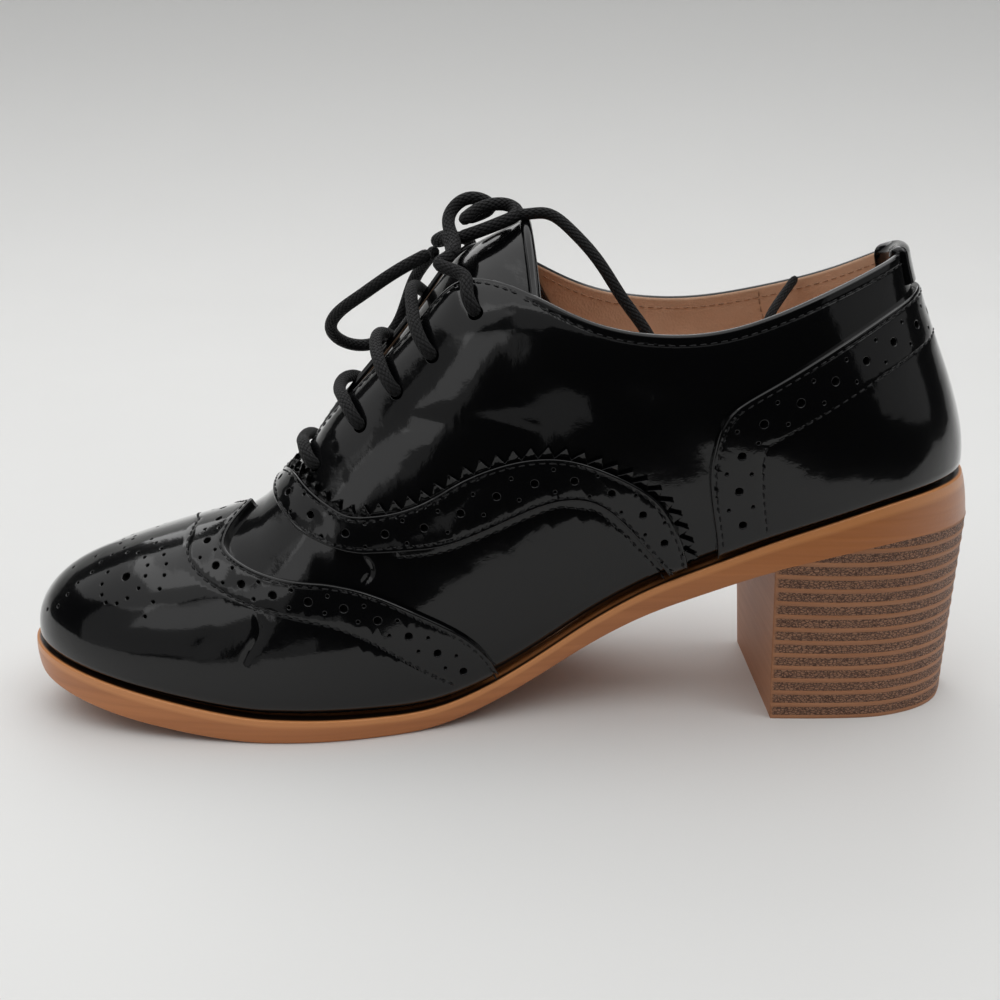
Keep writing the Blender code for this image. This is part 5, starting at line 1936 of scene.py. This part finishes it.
@dataclass
class Sole:
    """Outsole, with rounded edges, its ledge around the upper, and the insole."""

    last: Last
    looks: Looks
    round: float = 0.00045
    clean: float = 0.0010
    bulge: float = 0.0003
    shares: tuple = (0.18, 0.3, 0.5, 0.7, 0.85)
    hidden: tuple = (0.006, 0.0017, 0.0005)
    insole_thick: float = 0.0020
    insole_edge: float = 0.0017
    insole_foot: float = 0.0036
    insole_level: float = 0.035

    def build(self) -> None:
        """Makes the outsole and the insole."""
        around = np.linspace(-1, 1, 421)[:-1]
        table = self.last.columns(around)
        ledge = table[:, 9]
        under = table[:, 9] - table[:, 10]
        plan = table[:, :2]
        out = self.last.plan_normal(around)
        out3 = np.column_stack([out, np.zeros(len(out))])
        up = np.array([0.0, 0.0, 1.0])
        soup = Soup()
        rim = []
        rows = []
        # Each step: offset, drop, angle and its share of the painted highlight on the top rim; steps with a
        # share and a drop are measured down from the sole's top.
        steps = [(-inside, 0.0, 0, 0.3) for inside in self.hidden]
        steps.append((ledge - self.clean, 0.0, 0, 0.6))
        ledge_shade = []
        for angle in np.radians([0, 22, 45, 68, 90]):
            inward = self.round * (1 - np.sin(angle))
            steps.append((ledge - inward, self.round * (1 - np.cos(angle)), angle, 1.0))
        for share in self.shares:
            bulge = self.bulge * np.sin(np.pi * share)
            # The highest row of the side gets the full painted highlight.
            light = 1.0 if share < 0.2 else 0.0
            steps.append((ledge + (under - ledge) * share + bulge, None, np.pi / 2, light))
        for angle in np.radians([90, 115, 140, 160, 180]):
            inward = self.round * (1 - np.sin(angle))
            steps.append((under - inward, -self.round * (1 + np.cos(angle)), angle, 0.0))
        shares = iter(self.shares)
        for offset, drop, angle, light in steps:
            spot = plan + out * np.reshape(offset, (-1, 1))
            top_here = self.last.sole_top(spot[:, 0])
            low_here = self.last.sole_bottom(spot[:, 0])
            if drop is None:
                height = top_here + (low_here - top_here) * next(shares)
            elif light > 0:
                height = top_here - drop
            else:
                height = low_here - drop
            points = np.column_stack([spot, height])
            numbers = soup.add(points, up * np.cos(angle) + out3 * np.sin(angle))
            rim += [light] * len(points)
            # The two ledge rows next to the upper get the painted shade.
            ledge_shade += [1.0 if len(rows) in (2, 3) else 0.0] * len(points)
            if rows:
                soup.strip(rows[-1], numbers, True)
            rows.append(numbers)
        points = np.vstack(soup.points)
        half = len(around) // 2
        for row, sign in ((rows[0], 1), (rows[-1], -1)):
            edge = points[row]
            left = edge[:half + 1]
            right = np.vstack([edge[half:], edge[:1]])[::-1]
            share = np.linspace(0, 1, 9)[:, None, None]
            middle = left * (1 - share) + right * share
            profile = self.last.sole_top if sign > 0 else self.last.sole_bottom
            middle[:, :, 2] = profile(middle[:, :, 0])
            numbers = soup.grid(middle, np.tile(up * sign, (*middle.shape[:2], 1)))
            rim += [0.0] * numbers.size
            ledge_shade += [0.0] * numbers.size
        skin = soup.build("outsole_skin", [self.looks.sole], {"rim": rim, "ledge_shade": ledge_shade})
        adopt(skin, "sole_tan", "outsole")
        self.insole(half)

    def insole(self, half: int) -> None:
        """Makes the insole, slightly dished, its top reaching out to the lining.

        Args:
            half: how many places each side has.
        """
        side = np.linspace(0, 1, half)
        soup = Soup()
        share = np.linspace(0, 1, 15)[:, None, None]
        dish = 0.0006 * (2 * share[:, :, 0] - 1) ** 4
        up = np.tile(np.array([0.0, 0.0, 1.0]), (15, half, 1))
        upper = [self.last.layer(sign * side, self.insole_level, -self.insole_edge)[:, :2]
                 for sign in (-1, 1)]
        lower = [self.last.outline(sign * side, -self.insole_foot) for sign in (-1, 1)]
        rows = []
        for (left, right), thick, sign in ((upper, self.insole_thick - 0.0006 + dish, 1), (lower, 0.0, -1)):
            plan = left * (1 - share) + right * share
            height = self.last.sole_top(plan[:, :, 0]) + self.last.gap + thick
            rows.append(soup.grid(np.dstack([plan, height]), up * sign))
        top, base = rows
        soup.strip(top[0], base[0])
        soup.strip(top[-1], base[-1])
        adopt(soup.build("insole_skin", [self.looks.lining]), "insole_tan", "insole")


@dataclass
class Heel:
    """Block heel of moulded lifts, cut to the sole's underside."""

    last: Last
    looks: Looks
    axis: float = -0.060
    breast: float = 0.790
    lifts: int = 14
    proud: float = 0.00015
    sunk: float = 0.0004
    share: float = 0.26
    ridge_rows: tuple = ((-0.7, 0.70), (0.0, 1.0), (0.7, 0.70))
    band_rows: tuple = ((1.15, 0.0), (1.35, 1.0), (3.0, 1.0), (5.0, 1.0), (6.2, 1.0), (6.4, 0.0))
    front: int = 26

    def plan(self, u: np.ndarray, level: np.ndarray) -> np.ndarray:
        """Outline at a height for each place around the heel.

        Args:
            u: places around the heel.
            level: height of each, metres.

        Returns:
            Rows of x and y.
        """
        around = np.abs(u)
        places = [(p.x * self.last.length, p.y * self.last.width) for p in HEEL_FOOT]
        foot = Spline([p.at for p in HEEL_FOOT], places)(around)
        foot[:, 1] = self.axis * self.last.width + np.sign(u) * foot[:, 1]
        table = self.last.columns(u)
        seat = self.last.outline(u, table[:, 9] - table[:, 10])
        share = np.clip(level / self.last.sole_bottom(seat[:, 0]), 0, 1)[:, None]
        return foot * (1 - share) + seat * share

    def build(self) -> None:
        """Makes the heel's mesh."""
        side = self.breast + (1 - self.breast) * np.linspace(0, 1, 90) ** 0.9
        u = np.concatenate([-side, side[-2::-1]])
        count = len(u)
        pitch = self.last.heel_height / self.lifts
        levels = [(0.0, 0.0, 0.0)]
        half = pitch * self.share / 2
        for k in range(self.lifts + 4):
            centre = pitch * (k + self.share / 2)
            levels += [(centre + half * step, swell, 0.0) for step, swell in self.ridge_rows]
            levels += [(centre + half * step, 0.0, band) for step, band in self.band_rows]
        levels = [levels[0]] + sorted(item for item in levels[1:] if item[0] > 0)
        rows = []
        bands = []
        fade = smooth((0.5 * (1 - np.abs(np.linspace(-1, 1, count)))) * 300)
        for level, swell, band in levels:
            height = np.full(count, level)
            for _ in range(3):
                spot = self.plan(u, height)
                height = np.minimum(level, self.last.sole_bottom(spot[:, 0]) + self.sunk)
            spot = self.plan(u, height)
            cut = height < level - 1e-6
            middle = np.array([spot[0, 0], self.axis * self.last.width])
            away = unit(spot - middle)
            spot = spot + away * (np.where(cut, 0.0, swell * self.proud) * fade)[:, None]
            share = np.linspace(0, 1, self.front + 2)[1:-1, None]
            across = spot[-1] * (1 - share) + spot[0] * share
            across_height = np.minimum(level, self.last.sole_bottom(across[:, 0]) + self.sunk)
            rows.append(np.vstack([np.column_stack([spot, height]),
                                   np.column_stack([across, across_height])]))
            bands += list(band * (fade > 0.5)) + [0.0] * self.front
        grid = np.array(rows)
        soup = Soup()
        soup.grid(grid, self.normals(grid, count), 0, True)
        base = grid[0]
        down = np.array([0.0, 0.0, -1.0])
        low = soup.add(base, np.tile(down, (len(base), 1)))
        centre = soup.add(base.mean(0), down)
        for i in range(len(low)):
            soup.face((low[i], low[(i + 1) % len(low)], centre[0]))
        bands += [0.0] * (len(base) + 1)
        adopt(soup.build("heel_skin", [self.looks.stack], {"band": bands}), "heel_stack", "heel")

    def normals(self, grid: np.ndarray, count: int) -> np.ndarray:
        """Normals of the heel's wall, sharp at the breast's two edges.

        Args:
            grid: rows of points around the heel.
            count: how many of a row's points are on the curve.

        Returns:
            Unit normals.
        """
        ahead = np.roll(grid, -1, axis=1) - np.roll(grid, 1, axis=1)
        ahead[:, 0] = grid[:, 1] - grid[:, 0]
        ahead[:, count - 1] = grid[:, count - 1] - grid[:, count - 2]
        ahead[:, count:] = (grid[:, 0] - grid[:, count - 1])[:, None]
        rise = np.gradient(grid, axis=0)
        rise = np.where(np.linalg.norm(rise, axis=-1, keepdims=True) < 1e-7, np.array([0.0, 0.0, 1.0]), rise)
        normal = unit(np.cross(ahead, rise))
        middle = grid.mean(1, keepdims=True)
        facing = np.sum(normal * (grid - middle), axis=-1, keepdims=True)
        return np.where(facing < 0, -normal, normal)


@dataclass
class Lacing:
    """Round braided lace: bars through the eyelets, the tie, three loops and the long end."""

    last: Last
    looks: Looks
    thick: float = 0.0032
    thin: float = 0.0028
    clear: float = 0.0004
    sunk: float = 0.0009
    lip: float = 0.0008
    bar_shares: tuple = (0.30, 0.75, 1.0)
    tie_shares: tuple = (0.40, 0.85)
    nest: tuple = (0.0009, -0.0004, 0.0006)
    start: tuple = (-0.0036, 0.0012, -0.0002)
    sides: int = 18

    def path(self, points: np.ndarray, spacing: float = 0.0007) -> np.ndarray:
        """A smooth route through points, sampled evenly."""
        chord = distances(points)
        fine = Spline(chord, points)(np.linspace(0, chord[-1], 400))
        run = distances(fine)
        return between(fine, run, np.linspace(0, run[-1], max(8, int(run[-1] / spacing))))

    def tube(self, name: str, path: np.ndarray, thick: float, tip: float = 1.0) -> bpy.types.Object:
        """A lace along a path, with rounded ends and a map of turns and metres.

        Args:
            name: the object's name.
            path: points of the centreline.
            thick: the lace's diameter.
            tip: how thin the last third draws out, as a share of the diameter.

        Returns:
            The mesh object.
        """
        ahead = unit(np.gradient(path, axis=0))
        side = unit(np.cross(ahead[0], [0.13, 0.97, 0.21]))
        sides = []
        for way in ahead:
            side = unit(side - way * np.dot(side, way))
            sides.append(side)
        sides = np.array(sides)
        ups = np.cross(ahead, sides)
        share = np.linspace(0, 1, len(path))
        radius = thick / 2 * (1 - (1 - tip) * smooth((share - 0.6) / 0.4))
        radius[[0, -1]] *= 0.55
        radius[[1, -2]] *= 0.88
        run = distances(path)
        turn = np.linspace(0, 2 * np.pi, self.sides, endpoint=False)
        arms = sides[:, None] * np.cos(turn)[:, None] + ups[:, None] * np.sin(turn)[:, None]
        points = path[:, None] + arms * radius[:, None, None]
        soup = Soup()
        soup.grid(points, arms, 0, True)
        for place, sign in ((0, -1), (-1, 1)):
            soup.face(soup.add(points[place], np.tile(ahead[place] * sign, (self.sides, 1))))
        thing = soup.build(name, [self.looks.lace])
        total = len(path) * self.sides
        layer = thing.data.uv_layers.new(name="UVMap")
        for face in thing.data.polygons:
            columns = [thing.data.loops[k].vertex_index % self.sides for k in face.loop_indices]
            wraps = self.sides - 1 in columns and 0 in columns
            for k in face.loop_indices:
                number = thing.data.loops[k].vertex_index
                column = number % self.sides
                level = run[number // self.sides] if number < total else 0.0
                share = (self.sides if wraps and column == 0 else column) / self.sides
                layer.data[k].uv = (share, level)
        return thing

    def over(self, side: int, hole: NamedTuple, shares: tuple) -> np.ndarray:
        """Points of a lace coming up through an eyelet and over the facing.

        Args:
            side: -1 or 1.
            hole: the eyelet.
            shares: places between eyelet and edge.

        Returns:
            Points, metres.
        """
        u = side * hole.u
        above = self.last.layer(u, hole.v + (1 - hole.v) * np.array(shares), self.thick / 2 + self.clear)
        low = self.last.layer(u, hole.v, -self.sunk)
        lip = self.last.layer(u, hole.v + 0.010, self.lip)
        return np.vstack([low, lip, above])

    def build(self) -> None:
        for number, hole in enumerate(EYELETS[:-1], 1):
            near = self.over(-1, hole, self.bar_shares)
            far = self.over(1, hole, self.bar_shares)
            piece = self.tube(f"lace_bar_{number}_braid", self.path(np.vstack([near, far[::-1]])), self.thick)
            adopt(piece, "lace_black", f"lace_bar_{number}")
        top = EYELETS[-1]
        near = self.over(-1, top, self.tie_shares)
        far = self.over(1, top, self.tie_shares)
        tie = np.vstack([near, ROUTES["lace_knot"][1:], far[::-1]])
        self.cord("lace_tie_braid", tie, "object", "lace_knot", "lace_rise_near", "lace_rise_far")
        root = [tuple(np.add(spot, self.nest)) for spot in ROUTES["lace_knot"][2:4]]
        self.cord("lace_loop_upper_braid", root + ROUTES["lace_loop_upper"], "knot", "lace_loop_upper")
        for name in ("lace_loop_front", "lace_loop_back"):
            self.cord(f"{name}_braid", ROUTES[name], "knot", name)
        start = [tuple(np.add(ROUTES["lace_end_long"][0], self.start))]
        self.cord("lace_end_long_braid", start + ROUTES["lace_end_long"], "bare", "lace_end_long")

    def cord(self, name: str, points: list, end: str, *nodes: str) -> None:
        """Makes one free cord, thinner and tapered where its end is bare.

        Args:
            name: the piece's name.
            points: its route.
            end: what its far end is.
            *nodes: the solids it stands for.
        """
        path = self.path(points)
        bare = end == "bare"
        thick = self.thin if bare else self.thick
        piece = adopt(self.tube(name, path, thick, 0.8 if bare else 1.0), "lace_black", *nodes)


@dataclass(frozen=True)
class Softbox:
    """A rectangular lamp: where it is, what it faces, its size and power."""

    name: str
    place: tuple
    target: tuple
    size: tuple
    power: float

    def make(self) -> None:
        """Adds the lamp."""
        data = bpy.data.lights.new(self.name, "AREA")
        data.shape = "RECTANGLE"
        data.size, data.size_y = self.size
        data.energy = self.power
        thing = bpy.data.objects.new(self.name, data)
        thing.location = self.place
        way = Vector(self.target) - Vector(self.place)
        thing.rotation_euler = way.to_track_quat("-Z", "Y").to_euler()
        bpy.context.scene.collection.objects.link(thing)


@dataclass
class Studio:
    """Camera at the photograph's angle, pale seamless paper and soft lamps."""

    front: float = 0.138
    back: float = 0.55
    bend: float = 0.45
    side: float = 2.2
    top: float = 0.55
    lens: float = 43.63
    sensor: float = 36.0
    eye: tuple = (0.00035, -0.30705, 0.154)
    tilt: float = 71.3
    room: float = 0.10
    room_power: float = 0.25

    def camera(self) -> None:
        """Places the camera."""
        data = bpy.data.cameras.new("camera")
        data.lens = self.lens
        data.sensor_width = self.sensor
        data.clip_start = 0.01
        thing = bpy.data.objects.new("camera", data)
        thing.location = self.eye
        thing.rotation_euler = (np.radians(self.tilt), 0.0, 0.0)
        bpy.context.scene.collection.objects.link(thing)
        bpy.context.scene.camera = thing

    def paper(self) -> None:
        """Makes the sweep: floor, a wide bend and a wall."""
        line = [(-self.front, 0.0), (self.back, 0.0)]
        for angle in np.radians(np.linspace(6, 90, 15)):
            line.append((self.back + self.bend * np.sin(angle), self.bend * (1 - np.cos(angle))))
        line.append((self.back + self.bend, self.top))
        profile = np.array(line)
        rows = [np.column_stack([np.full(len(profile), x), profile])
                for x in np.linspace(-self.side, self.side, 9)]
        ahead = unit(np.gradient(profile, axis=0))
        normal = np.column_stack([np.zeros(len(profile)), -ahead[:, 1], ahead[:, 0]])
        soup = Soup()
        soup.grid(np.array(rows), np.tile(normal, (len(rows), 1, 1)))
        soup.build("paper_sweep", [Sweep().make()])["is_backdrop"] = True

    def light(self) -> None:
        """Adds the lamps and the dim room."""
        for lamp in (
            Softbox("ceiling", (-0.1, 0.0, 2.1), (-0.1, 0.0, 0.0), (3.6, 3.0), 49.0),
            Softbox("back_light", (-0.2, 1.9, 1.5), (0.0, 0.0, 0.05), (2.4, 1.6), 21.0),
            Softbox("left_wall", (-1.35, -0.30, 1.25), (0.0, 0.0, 0.05), (2.4, 0.85), 5.0),
            Softbox("front_ceiling", (0.3, -1.3, 1.6), (0.0, 0.0, 0.0), (2.6, 1.0), 3.2),
            Softbox("front_wall", (-1.25, -1.30, 0.35), (0.0, 0.0, 0.10), (1.4, 1.2), 1.8),
            Softbox("front_window", (-0.72, -1.02, 0.50), (-0.08, 0.0, 0.05), (0.42, 0.46), 0.55),
            Softbox("front_floor", (-0.43, -1.40, -0.33), (0.0, 0.0, 0.05), (0.66, 0.28), 0.2),
            Softbox("right_high", (1.3, -0.2, 1.7), (0.05, 0.0, 0.0), (1.6, 1.4), 8.0),
            Softbox("right_wall", (1.8, -0.5, 0.6), (0.05, 0.0, 0.05), (1.0, 0.8), 0.75),
        ):
            lamp.make()
        world = bpy.data.worlds.new("room")
        world.use_nodes = True
        dim = world.node_tree.nodes["Background"].inputs
        dim["Color"].default_value = (self.room, self.room, self.room, 1.0)
        dim["Strength"].default_value = self.room_power
        bpy.context.scene.world = world
        bpy.context.scene.view_settings.view_transform = "Standard"


def plain(box: object) -> list:
    """A box as plain lists of numbers."""
    return [[float(value) for value in corner] for corner in box]


def main() -> None:
    """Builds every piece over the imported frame."""
    logging.basicConfig(level=logging.INFO, format="%(message)s")
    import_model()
    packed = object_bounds()
    studio = Studio()
    studio.camera()
    last = Last()
    looks = Looks.make()
    Lacing(last, looks).build()
    studio.paper()
    studio.light()
    for part in (Sole, Heel, Upper, ToeCap, VampBand, Counter, BackStrip, LiningSkin, Tongue):
        part(last, looks).build()
    {"cad": plain(packed), "visual": plain(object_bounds())}


if __name__ == "__main__":
    main()
